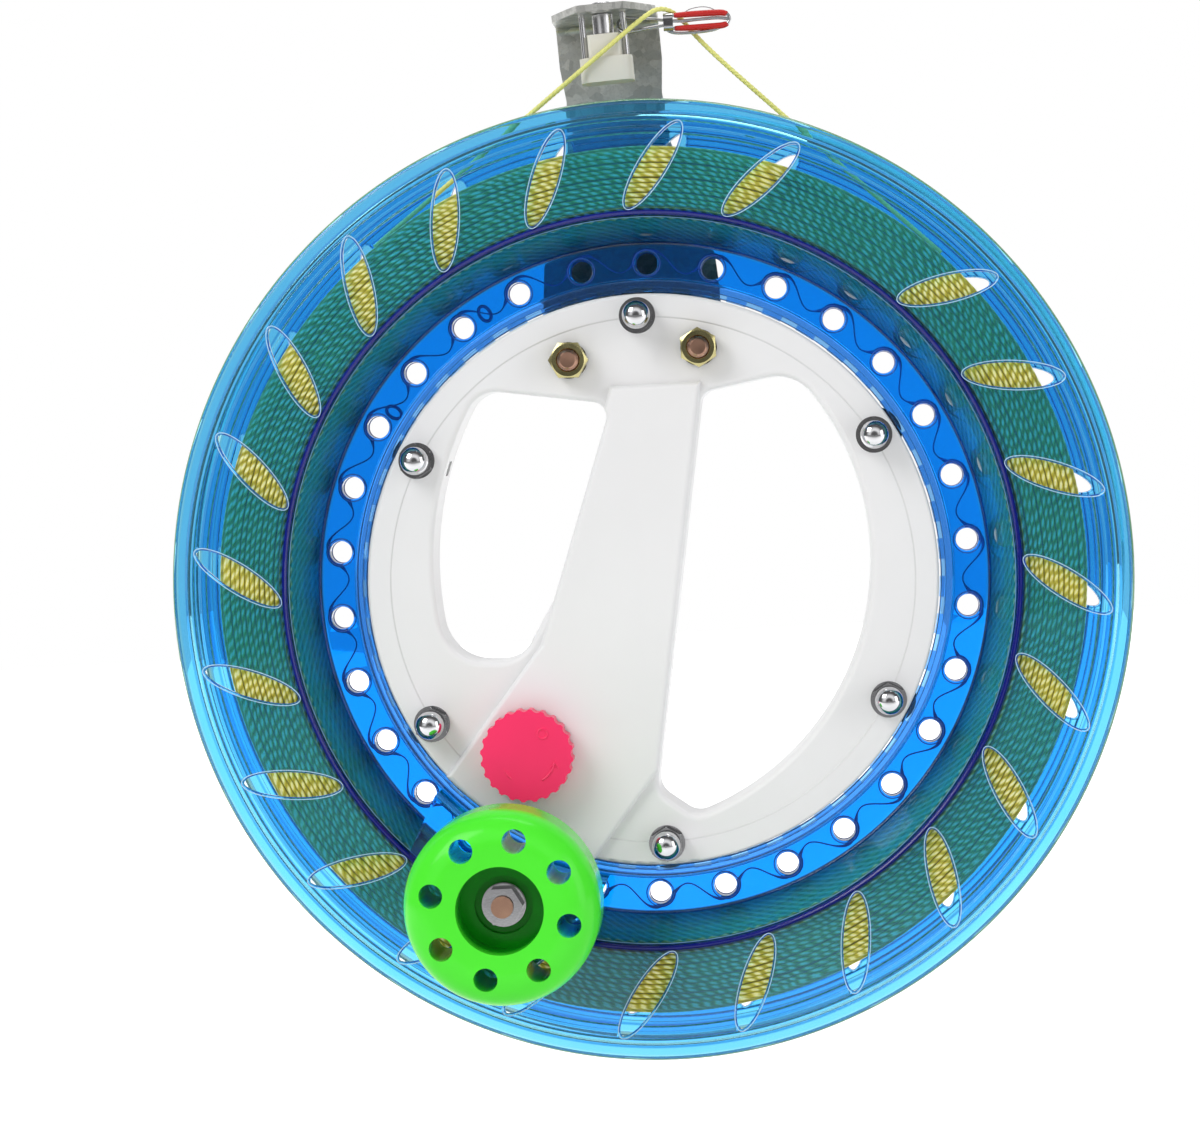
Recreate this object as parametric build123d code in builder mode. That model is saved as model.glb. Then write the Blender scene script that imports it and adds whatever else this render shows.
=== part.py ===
from build123d import *
import os
from math import cos, pi, radians, sin, sqrt, tan

# A kite line winder: a transparent wheel that turns on six bearings round a hand-held hub.
# Millimetres. The wheel's axis is Y, its middle plane is Y = 0, the front faces -Y and up is +Z.
# The origin is the wheel's centre, which lies inside the grip bar.
# Angles are measured in the front view, anticlockwise from +X.

# ---------------------------------------------------------------- driving dimensions
# Wheel
wheel_r = 110.0
wheel_width = 38.0
flange_t = 2.4
drum_wall = 2.4
web_width = 7.8  # from the track's lip out to the tunnel's wall
tunnel_flare = 6.6  # how much the tunnel widens from the wheel's middle to each flange
web_half = 2.4  # half the web's thickness, one disc from each moulding
rim_t = 3.4
rim_depth = 4.0
rim_round = 1.4
ring_groove_inset = 6.0
ring_groove_w = 1.6
ring_groove_d = 0.5

# Track in which the bearings run
track_gap = 0.3
ridge_height = 1.3
lip_wall = 1.6
track_half = 2.8
ridge_t = 1.7

# Holes in the web and slots in the flanges
web_hole_count = 30
web_hole_r = 2.6
web_hole_inset = 3.8  # from the track's lip to the holes' centres
web_hole_start = 4.0
slot_count = 24  # places round the flange, one of which is left bare
slot_start = -3.6
slot_bare = 4  # this place, counted from the start, has no slot
slot_mouth_gap = 1.25  # from the tunnel's mouth to the slots' inner ends
slot_rim_gap = 5.45  # from their outer ends to the rim
slot_width = 5.8
slot_tilt = -31.5

# Ratchet notches in the rear ridge
notch_count = 48
notch_depth = 1.9
notch_clear = 0.4

# Wound line
line_d = 1.2
pack_depth = 10.5  # from the rim down to the outer turns
turn_count = 19
turn_pitch = 1.65
pack_clear = 0.1
layer_clear = 0.05

# Hub
hub_run_gap = 0.5
hub_half = 9.0
hub_wall = 2.4
hub_face = 2.6
grip_rise = 2.0
grip_top = 45.0  # the height at which the raised bar ends on the ring
grip_round = 1.2
opening_round = 1.5
hub_edge_round = 0.8
left_top = (-7.2, 41.0)
left_bar = (-22.8, -3.0)
left_floor = (-31.5, -17.2)
left_low = (-48.0, -16.5)
left_side = (-50.5, 6.0)
left_high = (-37.5, 46.0)
left_top_round = 3.5
left_bar_round = 10.0
left_floor_round = 9.0
left_low_round = 11.0
left_high_round = 7.0
right_bar = (-1.6, -49.0)
right_top = (13.8, 42.5)
right_high = (35.0, 46.0)
right_side = (50.3, -2.0)
right_low = (7.0, -55.5)
right_bar_round = 5.0
right_top_round = 3.5
right_high_round = 10.0
right_low_round = 5.0
plateau_left = (-26.5, -13.5)
plateau_left_end = (-58.0, -52.5)  # both ends lie beyond the hub's edge, which cuts the plateau off
plateau_right_end = (-30.0, -80.0)
plateau_right = (-1.0, -44.0)

# Bearings on their bolts
bearing_count = 6
bearing_pcd = 122.0
bearing_start = 90.0
bearing_r = 6.5
bearing_half = 2.5
bearing_edge = 0.4
inner_ring_r = 3.4
bolt4_r = 2.0
bolt4_head_af = 7.0
bolt4_head_t = 2.8
washer4_r = 4.2
washer4_t = 0.8
acorn_hex_t = 3.2
acorn_height = 8.0
acorn_dome_r = 3.25
acorn_dome_round = 3.0
acorn_bore_depth = 5.6
boss4_r = 4.4
ring_pip_r = 3.2
pocket_gap = 0.6
pocket_side_gap = 0.5
shank_clear = 0.1
ring_bore_clear = 0.05

# Running clearance of a shaft in its hole, and of a slide in its way
run_clear = 0.06
slide_clear = 0.3

# Crank
crank_angle = 242.6
crank_inset = 9.5  # from the block's inner face to the crank's axis
block_lip_gap = 0.4
block_left = 19.0
block_right = 25.0
crank_bolt_r = 2.5
crank_head_af = 8.0
crank_head_t = 3.5
crank_head_depth = 3.6  # from the wheel's front plane to the bolt's moulded-in head
crank_sleeve_r = 3.6
knob_lift = 4.0
knob_r = 22.2
knob_t = 24.0
knob_recess_r = 9.9
knob_recess_depth = 14.0
knob_step_r = 6.6
knob_step_depth = 1.6
knob_front_round = 8.0
knob_rear_round = 4.0
knob_hole_count = 8
knob_hole_r = 2.7
knob_hole_pcd = 31.6
knob_hole_start = -14.8
sleeve_proud = 0.3
crank_washer_r = 5.0
crank_washer_t = 0.8
crank_nut_r = 4.9
crank_nut_t = 4.6
crank_nut_flange_t = 1.2
crank_nut_af = 8.0
crank_bolt_proud = 1.2

# Lock
lock_angle = 231.4
lock_radius = 49.2
lock_knob_r = 10.7
lock_knob_t = 6.6
lock_knob_gap = 0.4
lock_scallops = 24
lock_scallop_r = 1.3
lock_scallop_depth = 0.55
lock_square = 4.2
lock_square_clear = 0.05
lock_socket_depth = 4.2
spindle_r = 3.0
cam_r = 9.6
cam_t = 3.0
cam_rear = 2.3
cam_groove_depth = 1.8
cam_start_r = 4.4
cam_turn = 90.0
journal_r = 1.8
journal_end = 7.6
pawl_front = 2.9
pawl_t = 1.8
pawl_half = 4.5
pawl_tail = 9.2  # from the spindle's axis to the slide's inner end
pawl_wall_gap = 2.8  # from the slide's shoulders to the hub's wall
pawl_tip_sunk = 0.4  # how far the drawn-back tooth lies inside the hub's edge
pawl_tooth_w = 3.2
pawl_tooth_root = 1.0
pawl_travel = 2.4
pawl_pin_r = 1.2
pawl_rail_t = 1.8
pawl_rail_start = 12.0  # from the way's inner end to its rails
way_overlap = 1.0
thrust_boss_r = 5.0

# Line guide over the rim
guide_x = -1.25
guide_z = 52.2
guide_tilt = 2.4
bracket_t = 1.6
bracket_foot_half = 20.7
bracket_foot_low = -6.4
bracket_foot_high = 15.0
bracket_taper_half = 20.2
bracket_taper_low = 23.0
bracket_taper_high = -7.8  # this and the sizes marked "over the rim" are heights over the wheel's rim
bracket_neck_half = 12.3
bracket_waist_half = 11.4
bracket_waist_at = 4.2  # over the rim
bracket_head_half = 12.2
bracket_head_at = 12.2  # over the rim
bracket_bend_low = 12.0
bracket_bend_high = 30.0
bracket_rear = 23.0
bracket_bend_r = 2.6
bracket_head_gap = 1.6
roof_height = 21.6  # over the rim
roof_front = -8.0
roof_full_at = 8.0
roof_nose_half = 5.4
roof_shoulder_half = 8.0
roof_shoulder_at = -2.5
bolt5_r = 2.5
bolt5_spacing = 30.0
bolt5_af = 8.0
bolt5_head_t = 3.5
nut5_t = 4.4
nut5_proud = 1.4
washer5_r = 5.2
washer5_t = 1.0
boss5_r = 5.2
guide_block_w = 12.2
guide_block_d = 9.6
guide_block_low = 5.6  # over the rim
guide_step_height = 5.7
guide_neck_height = 5.3
guide_block_neck_w = 7.6
guide_block_neck_d = 8.4
guide_block_round = 2.6
guide_neck_round = 0.8
guide_pin_r = 0.7
guide_pin_half_gap = 4.8
guide_pin_sunk = 3.0
guide_roller_r = 2.4
guide_axle_r = 1.2
guide_axle_sunk = 3.5
guide_rivet_r = 2.4
guide_rivet_t = 1.1
guide_rivet_round = 0.77
guide_pin_rivet_r = 1.3
guide_pin_rivet_t = 0.66

# Snap clip on the line's end
snap_height = 18.6  # over the rim
snap_wire_r = 0.4
snap_collar_x = 9.6
snap_collar_length = 2.2
snap_collar_r = 1.45
snap_collar_round = 1.4
snap_collar_wall = 0.2
snap_hook_reach = -1.0
snap_hook_half = 2.6
snap_hook_bend = 2.0
snap_hook_tilt = 54.0
snap_seat_gap = 0.08
snap_neck_half = 0.85
snap_leg_half = 1.5
snap_tip_x = 24.9
snap_sleeve_r = 0.85
snap_sleeve_start = 12.6
snap_sleeve_end = 22.4
snap_sleeve_clear = 0.05

# Route of the free line, from the pack's left side over the clip to its right side
line_route = [
    (-60.3, -3.0, 80.6),
    (-24.0, -5.0, 107.6),
    (-8.0, -6.3, 119.6),
    (5.0, -3.8, 129.8),
    (9.0, -1.0, 132.2),
    (13.0, 2.5, 130.6),
    (18.0, 2.4, 123.6),
    (34.0, 2.4, 107.7),
    (70.8, 2.0, 71.6),
]
line_min_r = 2.4

# ---------------------------------------------------------------- worked-out sizes
half_width = wheel_width / 2
flange_inner_y = half_width - flange_t
bearing_arm = bearing_pcd / 2
track_r = bearing_arm + bearing_r + track_gap
ridge_r = track_r - ridge_height
hub_r = ridge_r - hub_run_gap
lip_r = track_r + lip_wall
neck_r = lip_r + web_width
mouth_r = neck_r + tunnel_flare
cone_slope = tunnel_flare / half_width
drum_outer_r = neck_r + drum_wall * sqrt(1 + cone_slope**2)
ridge_end = track_half + ridge_t
ring_groove_r = wheel_r - ring_groove_inset
web_hole_pcd = 2 * (lip_r + web_hole_inset)
slot_reach = (wheel_r - slot_rim_gap - mouth_r - slot_mouth_gap) / 2
slot_mid_r = mouth_r + slot_mouth_gap + slot_reach
slot_lean = slot_width / 2 * sin(radians(slot_tilt))
slot_length = 2 * sqrt(slot_reach**2 - slot_lean**2) / cos(radians(slot_tilt))
pack_r = wheel_r - pack_depth
turn_r = pack_r - line_d / 2
core_r = turn_r - line_d / 2 - layer_clear
winding_half = turn_count * turn_pitch / 2
grip_y = hub_half + grip_rise
block_inner_r = lip_r + block_lip_gap
crank_arm = block_inner_r + crank_inset
pawl_rear = pawl_front + pawl_t
pawl_inner_r = lock_radius - pawl_tail
pawl_body_r = hub_r - hub_wall - pawl_wall_gap
pawl_tip_r = hub_r - pawl_tip_sunk
knob_back = half_width + knob_lift
knob_front = knob_back + knob_t
knob_floor = knob_front - knob_recess_depth
sleeve_front = knob_floor + sleeve_proud
nut_back = sleeve_front + crank_washer_t
nut_front = nut_back + crank_nut_t
lock_x = lock_radius * cos(radians(lock_angle))
lock_z = lock_radius * sin(radians(lock_angle))
crank_x = crank_arm * cos(radians(crank_angle))
crank_z = crank_arm * sin(radians(crank_angle))
rim_height = wheel_r - guide_z
roof_underside = rim_height + roof_height
guide_block_base = rim_height + guide_block_low
guide_block_step = guide_block_base + guide_step_height
guide_block_top = guide_block_step + guide_neck_height
snap_z = wheel_r + snap_height
guide_up = (-sin(radians(guide_tilt)), 0, cos(radians(guide_tilt)))
guide_across = (cos(radians(guide_tilt)), 0, sin(radians(guide_tilt)))


def facing(y, x=0.0, z=0.0, turn=0.0):
    """A plane square to the wheel's axis at depth y, seen from the front and turned by turn degrees."""
    across = (cos(radians(turn)), 0, sin(radians(turn)))
    return Plane(origin=(x, y, z), x_dir=across, z_dir=(0, -1, 0))


def guide_facing(y):
    """The same, in the line guide's own tilted frame, whose origin is midway between its two bolts."""
    return Plane(origin=(guide_x, y, guide_z), x_dir=guide_across, z_dir=(0, -1, 0))


def guide_level(height):
    """A level plane of the line guide: across it is x, and its y points away from the viewer."""
    lift = Vector(*guide_up) * height
    return Plane(origin=Vector(guide_x, 0, guide_z) + lift, x_dir=guide_across, z_dir=guide_up)


def cone_r(y):
    """The tunnel's inner radius at a distance y from the wheel's middle."""
    return neck_r + cone_slope * abs(y)


def outermost_face(builder, side):
    """The face farthest from the wheel's middle: at the front for side -1, at the rear for side 1."""
    return builder.faces().filter_by(Axis.Y).sort_by(Axis.Y)[0 if side < 0 else -1]


def save(builder, name):
    """Labels a finished piece and writes it to its own file."""
    builder.part.label = name
    export_step(builder.part, f"parts/{name}.step")


os.makedirs("parts", exist_ok=True)

# ---------------------------------------------------------------- the wheel's two mouldings


def spool_half(side):
    """One moulding of the wheel: side is -1 at the front and 1 at the rear."""
    with BuildPart() as half:
        with BuildSketch(Plane.XY):
            with BuildLine():
                Polyline(
                    (track_r, 0),
                    (track_r, side * track_half),
                    (ridge_r, side * track_half),
                    (ridge_r, side * ridge_end),
                    (lip_r, side * ridge_end),
                    (lip_r, side * web_half),
                    (cone_r(web_half), side * web_half),
                    (mouth_r, side * half_width),
                    (ring_groove_r - ring_groove_w, side * half_width),
                    (ring_groove_r, side * (half_width - ring_groove_d)),
                    (ring_groove_r + ring_groove_w, side * half_width),
                    (wheel_r - rim_round, side * half_width),
                )
                rim = RadiusArc(
                    (wheel_r - rim_round, side * half_width),
                    (wheel_r, side * (half_width - rim_round)),
                    side * rim_round,
                )
                Polyline(
                    rim @ 1,
                    (wheel_r, side * (half_width - rim_t)),
                    (wheel_r - rim_depth + (rim_t - flange_t), side * (half_width - rim_t)),
                    (wheel_r - rim_depth, side * flange_inner_y),
                    (drum_outer_r + cone_slope * flange_inner_y, side * flange_inner_y),
                    (drum_outer_r, 0),
                    (track_r, 0),
                )
            make_face()
        revolve(axis=Axis.Y)
        # slots through the flange, all but one
        with BuildSketch(facing(side * half_width)):
            for place in range(slot_count):
                if place == slot_bare:
                    continue
                angle = slot_start + place * 360 / slot_count
                spot = Location(
                    (slot_mid_r * cos(radians(angle)), slot_mid_r * sin(radians(angle)), 0),
                    angle + slot_tilt,
                )
                with Locations(spot):
                    Ellipse(slot_length / 2, slot_width / 2)
        extrude(amount=side * (flange_t + rim_t) / 2, mode=Mode.SUBTRACT)
        # holes through the web
        with BuildSketch(facing(0)):
            with PolarLocations(web_hole_pcd / 2, web_hole_count, web_hole_start):
                Circle(web_hole_r)
        extrude(amount=-side * web_half * 2, mode=Mode.SUBTRACT)
        if side < 0:
            add(crank_block.part)
            # the crank bolt is moulded into the block
            with BuildSketch(facing(-(half_width - crank_head_depth), crank_x, crank_z)):
                Circle(crank_bolt_r + shank_clear)
            extrude(amount=crank_head_depth, mode=Mode.SUBTRACT)
            with BuildSketch(facing(-(half_width - crank_head_depth), crank_x, crank_z, crank_angle)):
                RegularPolygon(crank_head_af / 2 + layer_clear, 6, major_radius=False, rotation=30)
            extrude(amount=-crank_head_t, mode=Mode.SUBTRACT)
        else:
            with BuildSketch(facing(track_half)):
                with PolarLocations(ridge_r, notch_count, lock_angle):
                    Rectangle(2 * notch_depth, pawl_tooth_w + 2 * notch_clear)
            extrude(amount=-2 * ridge_t, mode=Mode.SUBTRACT)
    return half


# The block in the tunnel that carries the crank: a parallel-sided slice of the ring inside the cone
with BuildPart() as crank_block:
    with BuildSketch(Plane.XY):
        with BuildLine():
            Polyline(
                (block_inner_r, -web_half / 2),
                (cone_r(web_half / 2) + drum_wall / 2, -web_half / 2),
                (mouth_r + drum_wall / 2, -half_width),
                (block_inner_r, -half_width),
                close=True,
            )
        make_face()
    revolve(axis=Axis.Y)
    with BuildSketch(facing(0, 0, 0, crank_angle - 90)):
        with Locations(((block_right - block_left) / 2, crank_arm)):
            Rectangle(block_left + block_right, crank_arm)
    extrude(amount=wheel_width, mode=Mode.INTERSECT)

spool_front_half = spool_half(-1)
save(spool_front_half, "spool_front_half")
spool_rear_half = spool_half(1)
save(spool_rear_half, "spool_rear_half")

# ---------------------------------------------------------------- wound line

with BuildPart() as line_core:
    with BuildSketch(Plane.XY):
        side_y = flange_inner_y - pack_clear
        with BuildLine():
            Polyline(
                (drum_outer_r + pack_clear, 0),
                (drum_outer_r + pack_clear + cone_slope * side_y, -side_y),
                (core_r, -side_y),
                (core_r, side_y),
                (drum_outer_r + pack_clear + cone_slope * side_y, side_y),
                close=True,
            )
        make_face()
    revolve(axis=Axis.Y)
save(line_core, "line_core")


def turn_point(quarter):
    """A point of the outer layer, in quarter turns from its start at the front flange."""
    angle = quarter * pi / 2
    return (turn_r * sin(angle), -winding_half + turn_pitch * quarter / 4, turn_r * cos(angle))


with BuildPart() as line_outer_layer:
    with BuildLine() as turns:
        heading = Vector(1, turn_pitch / (2 * pi * turn_r), 0)
        lead_in = Line(Vector(*turn_point(0)) - heading.normalized() * line_d, turn_point(0))
        for quarter in range(4 * turn_count):
            arc = TangentArc(turn_point(quarter), turn_point(quarter + 1), tangent=heading)
            heading = arc % 1
        Line(arc @ 1, (arc @ 1) + heading.normalized() * line_d)
    with BuildSketch(Plane(origin=lead_in @ 0, z_dir=lead_in % 0)):
        RegularPolygon(line_d / 2, 6)
    sweep(path=turns.line)
save(line_outer_layer, "line_outer_layer")
print("least gap between turns", round(turn_pitch - line_d, 3), "mm")

# ---------------------------------------------------------------- hub

with BuildSketch(Plane.XY) as left_opening:
    with BuildLine():
        Polyline(left_high, left_top, left_bar, left_floor, left_low)
        ThreePointArc(left_low, left_side, left_high)
    make_face()
    left_corners = [
        (left_top, left_top_round),
        (left_high, left_high_round),
        (left_low, left_low_round),
        (left_floor, left_floor_round),
        (left_bar, left_bar_round),
    ]
    for corner, round_r in left_corners:
        fillet(left_opening.vertices().sort_by_distance((*corner, 0))[0], round_r)

with BuildSketch(Plane.XY) as right_opening:
    with BuildLine():
        Polyline(right_low, right_bar, right_top, right_high)
        ThreePointArc(right_high, right_side, right_low)
    make_face()
    right_corners = [
        (right_top, right_top_round),
        (right_high, right_high_round),
        (right_low, right_low_round),
        (right_bar, right_bar_round),
    ]
    for corner, round_r in right_corners:
        fillet(right_opening.vertices().sort_by_distance((*corner, 0))[0], round_r)

# The raised grip bar, which runs on below as the lock's plateau to the hub's edge
with BuildSketch(Plane.XY) as grip_outline:
    Circle(hub_r)
    with BuildLine():
        Polyline(
            (left_top[0], grip_top),
            left_bar,
            plateau_left,
            plateau_left_end,
            plateau_right_end,
            plateau_right,
            (right_top[0], grip_top),
            close=True,
        )
    make_face(mode=Mode.INTERSECT)
    add(left_opening.sketch_local, mode=Mode.SUBTRACT)
    add(right_opening.sketch_local, mode=Mode.SUBTRACT)


def hub_cover(side):
    """One cover of the hub: side is -1 at the front and 1 at the rear."""
    with BuildPart() as cover:
        with BuildSketch(facing(0)):
            Circle(hub_r)
            add(left_opening.sketch_local, mode=Mode.SUBTRACT)
            add(right_opening.sketch_local, mode=Mode.SUBTRACT)
        extrude(amount=-side * hub_half)
        fillet(outermost_face(cover, side).outer_wire().edges(), hub_edge_round)
        fillet(outermost_face(cover, side).inner_wires().edges(), opening_round)
        with BuildSketch(facing(side * grip_y)):
            add(grip_outline.sketch_local)
        extrude(amount=side * (grip_rise + opening_round))
        # hollow from the joint face, with bosses round the bolts
        with BuildSketch(facing(0)):
            Circle(hub_r - hub_wall)
            with BuildSketch(Plane.XY, mode=Mode.PRIVATE) as walls:
                add(left_opening.sketch_local)
                add(right_opening.sketch_local)
                offset(amount=hub_wall)
            add(walls.sketch_local, mode=Mode.SUBTRACT)
            with PolarLocations(bearing_arm, bearing_count, bearing_start):
                Circle(boss4_r, mode=Mode.SUBTRACT)
            with Locations(Location((guide_x, guide_z, 0), guide_tilt)):
                with GridLocations(bolt5_spacing, 0, 2, 1):
                    Circle(boss5_r, mode=Mode.SUBTRACT)
            with Locations((lock_x, lock_z)):
                Circle(thrust_boss_r, mode=Mode.SUBTRACT)
        extrude(amount=-side * (hub_half - hub_face), mode=Mode.SUBTRACT)
        # pockets in which the bearings turn, and the pips that hold their inner rings
        with BuildSketch(facing(0)):
            with PolarLocations(bearing_arm, bearing_count, bearing_start):
                Circle(bearing_r + pocket_gap)
        extrude(amount=-side * (bearing_half + pocket_side_gap), mode=Mode.SUBTRACT)
        with BuildSketch(facing(side * bearing_half)):
            with PolarLocations(bearing_arm, bearing_count, bearing_start):
                Circle(ring_pip_r)
        extrude(amount=-side * 2 * pocket_side_gap)
        with BuildSketch(facing(0)):
            with PolarLocations(bearing_arm, bearing_count, bearing_start):
                Circle(bolt4_r + shank_clear)
            with Locations(Location((guide_x, guide_z, 0), guide_tilt)):
                with GridLocations(bolt5_spacing, 0, 2, 1):
                    Circle(bolt5_r + shank_clear)
        extrude(amount=-side * 2 * hub_half, mode=Mode.SUBTRACT)
        if side < 0:
            # room for the cam in front of the joint, under the spindle's bearing
            with BuildSketch(facing(0, lock_x, lock_z)):
                Circle(cam_r + slide_clear)
            extrude(amount=cam_t - cam_rear + slide_clear, mode=Mode.SUBTRACT)
            with BuildSketch(facing(0, lock_x, lock_z)):
                Circle(spindle_r + run_clear)
            extrude(amount=2 * hub_half, mode=Mode.SUBTRACT)
        else:
            # way of the lock's slide: rails, floor, and the tooth's slot through the wall
            with BuildSketch(facing(0, lock_x, lock_z)):
                Circle(cam_r + slide_clear)
            extrude(amount=-(pawl_rear + slide_clear), mode=Mode.SUBTRACT)
            way_start = lock_radius - cam_r - way_overlap
            way_end = hub_r - hub_wall
            rail_start = way_start + pawl_rail_start
            with BuildSketch(facing(pawl_rear + slide_clear, 0, 0, lock_angle)):
                with Locations(((way_start + way_end) / 2, 0)):
                    Rectangle(way_end - way_start, 2 * (pawl_half + slide_clear + pawl_rail_t))
            extrude(amount=-(hub_half - hub_face - pawl_rear))
            with BuildSketch(facing(pawl_front, 0, 0, lock_angle)):
                with Locations(((rail_start + way_end) / 2, 0)):
                    Rectangle(way_end - rail_start, 2 * (pawl_half + slide_clear + pawl_rail_t))
                    Rectangle(way_end - rail_start, 2 * (pawl_half + slide_clear), mode=Mode.SUBTRACT)
            extrude(amount=-(pawl_t + 2 * slide_clear))
            with BuildSketch(facing(pawl_front - slide_clear, 0, 0, lock_angle)):
                with Locations((hub_r - hub_wall / 2, 0)):
                    Rectangle(2 * hub_wall, pawl_tooth_w + 2 * slide_clear)
            extrude(amount=-(pawl_t + 2 * slide_clear), mode=Mode.SUBTRACT)
            with BuildSketch(facing(0, lock_x, lock_z)):
                Circle(journal_r + run_clear)
            extrude(amount=-(journal_end + slide_clear), mode=Mode.SUBTRACT)
        # rounded edges where the hand goes
        fillet(outermost_face(cover, side).outer_wire().edges(), grip_round)
    return cover


hub_front_cover = hub_cover(-1)
save(hub_front_cover, "hub_front_cover")
hub_rear_cover = hub_cover(1)
save(hub_rear_cover, "hub_rear_cover")

# ---------------------------------------------------------------- bearings and their bolts

with BuildPart() as bearing_inner_rings:
    with BuildSketch(facing(bearing_half)):
        with PolarLocations(bearing_arm, bearing_count, bearing_start):
            Circle(inner_ring_r)
            Circle(bolt4_r + ring_bore_clear, mode=Mode.SUBTRACT)
    extrude(amount=2 * bearing_half)
save(bearing_inner_rings, "bearing_inner_rings")

for number in range(bearing_count):
    angle = radians(bearing_start + number * 360 / bearing_count)
    spot = facing(bearing_half, bearing_arm * cos(angle), bearing_arm * sin(angle))
    with BuildPart() as bearing_ring:
        with BuildSketch(spot):
            Circle(bearing_r)
            Circle(inner_ring_r + run_clear, mode=Mode.SUBTRACT)
        extrude(amount=2 * bearing_half)
        rims = bearing_ring.edges().filter_by(GeomType.CIRCLE).sort_by(SortBy.RADIUS)[-2:]
        chamfer(rims, bearing_edge)
    save(bearing_ring, f"bearing_ring_{number + 1}")

with BuildPart() as bearing_bolts:
    with BuildSketch(facing(hub_half)):
        with PolarLocations(bearing_arm, bearing_count, bearing_start):
            RegularPolygon(bolt4_head_af / 2, 6, major_radius=False)
    extrude(amount=-bolt4_head_t)
    with BuildSketch(facing(hub_half)):
        with PolarLocations(bearing_arm, bearing_count, bearing_start):
            Circle(bolt4_r)
    extrude(amount=2 * hub_half + washer4_t + acorn_bore_depth - 2 * slide_clear)
save(bearing_bolts, "bearing_bolts")

with BuildPart() as bearing_washers:
    with BuildSketch(facing(-hub_half)):
        with PolarLocations(bearing_arm, bearing_count, bearing_start):
            Circle(washer4_r)
            Circle(bolt4_r + shank_clear, mode=Mode.SUBTRACT)
    extrude(amount=washer4_t)
save(bearing_washers, "bearing_washers")

with BuildPart() as acorn_nuts:
    with BuildSketch(facing(-hub_half - washer4_t)):
        with PolarLocations(bearing_arm, bearing_count, bearing_start):
            RegularPolygon(bolt4_head_af / 2, 6, major_radius=False)
    extrude(amount=acorn_hex_t)
    with BuildSketch(facing(-hub_half - washer4_t)):
        with PolarLocations(bearing_arm, bearing_count, bearing_start):
            Circle(acorn_dome_r)
    extrude(amount=acorn_height)
    tops = acorn_nuts.edges().filter_by(GeomType.CIRCLE).group_by(Axis.Y)[0]
    fillet(tops, acorn_dome_round)
    with BuildSketch(facing(-hub_half - washer4_t)):
        with PolarLocations(bearing_arm, bearing_count, bearing_start):
            Circle(bolt4_r + ring_bore_clear)
    extrude(amount=acorn_bore_depth, mode=Mode.SUBTRACT)
save(acorn_nuts, "acorn_nuts")

# ---------------------------------------------------------------- crank

head_front = -(half_width - crank_head_depth)
with BuildPart() as crank_bolt:
    with BuildSketch(facing(head_front, crank_x, crank_z, crank_angle)):
        RegularPolygon(crank_head_af / 2, 6, major_radius=False, rotation=30)
    extrude(amount=-crank_head_t)
    with BuildSketch(facing(head_front, crank_x, crank_z)):
        Circle(crank_bolt_r)
    extrude(amount=crank_head_depth - half_width + nut_front + crank_bolt_proud)
save(crank_bolt, "crank_bolt")

with BuildPart() as crank_sleeve:
    with BuildSketch(facing(-half_width, crank_x, crank_z)):
        Circle(crank_sleeve_r)
        Circle(crank_bolt_r + shank_clear, mode=Mode.SUBTRACT)
    extrude(amount=sleeve_front - half_width)
save(crank_sleeve, "crank_sleeve")

with BuildPart() as crank_washer:
    with BuildSketch(facing(-sleeve_front, crank_x, crank_z)):
        Circle(crank_washer_r)
        Circle(crank_bolt_r + shank_clear, mode=Mode.SUBTRACT)
    extrude(amount=crank_washer_t)
save(crank_washer, "crank_washer")

with BuildPart() as crank_nut:
    with BuildSketch(facing(-nut_back, crank_x, crank_z)):
        Circle(crank_nut_r)
    extrude(amount=crank_nut_flange_t)
    with BuildSketch(facing(-nut_back, crank_x, crank_z)):
        RegularPolygon(crank_nut_af / 2, 6, major_radius=False)
    extrude(amount=crank_nut_t)
    with BuildSketch(facing(-nut_back, crank_x, crank_z)):
        Circle(crank_bolt_r + ring_bore_clear)
    extrude(amount=crank_nut_t, mode=Mode.SUBTRACT)
save(crank_nut, "crank_nut")

with BuildPart() as crank_knob:
    with BuildSketch(facing(-knob_back, crank_x, crank_z)):
        Circle(knob_r)
    extrude(amount=knob_t)
    fillet(crank_knob.edges().sort_by(Axis.Y)[0], knob_front_round)
    fillet(crank_knob.edges().sort_by(Axis.Y)[-1], knob_rear_round)
    with BuildSketch(facing(-knob_front, crank_x, crank_z)):
        Circle(knob_recess_r)
    extrude(amount=-knob_recess_depth, mode=Mode.SUBTRACT)
    with BuildSketch(facing(-knob_floor, crank_x, crank_z)):
        Circle(knob_recess_r)
        Circle(knob_step_r, mode=Mode.SUBTRACT)
    extrude(amount=knob_step_depth)
    with BuildSketch(facing(-knob_back, crank_x, crank_z)):
        Circle(crank_sleeve_r + run_clear)
        with PolarLocations(knob_hole_pcd / 2, knob_hole_count, knob_hole_start):
            Circle(knob_hole_r)
    extrude(amount=knob_t, mode=Mode.SUBTRACT)
save(crank_knob, "crank_knob")

# ---------------------------------------------------------------- lock

knob_seat = grip_y + lock_knob_gap
with BuildPart() as lock_knob:
    with BuildSketch(facing(-knob_seat, lock_x, lock_z)):
        Circle(lock_knob_r)
        with PolarLocations(lock_knob_r + lock_scallop_r - lock_scallop_depth, lock_scallops):
            Circle(lock_scallop_r, mode=Mode.SUBTRACT)
    extrude(amount=lock_knob_t)
    with BuildSketch(facing(-knob_seat, lock_x, lock_z)):
        Rectangle(lock_square + 2 * lock_square_clear, lock_square + 2 * lock_square_clear)
    extrude(amount=lock_socket_depth, mode=Mode.SUBTRACT)
save(lock_knob, "lock_knob")

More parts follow.
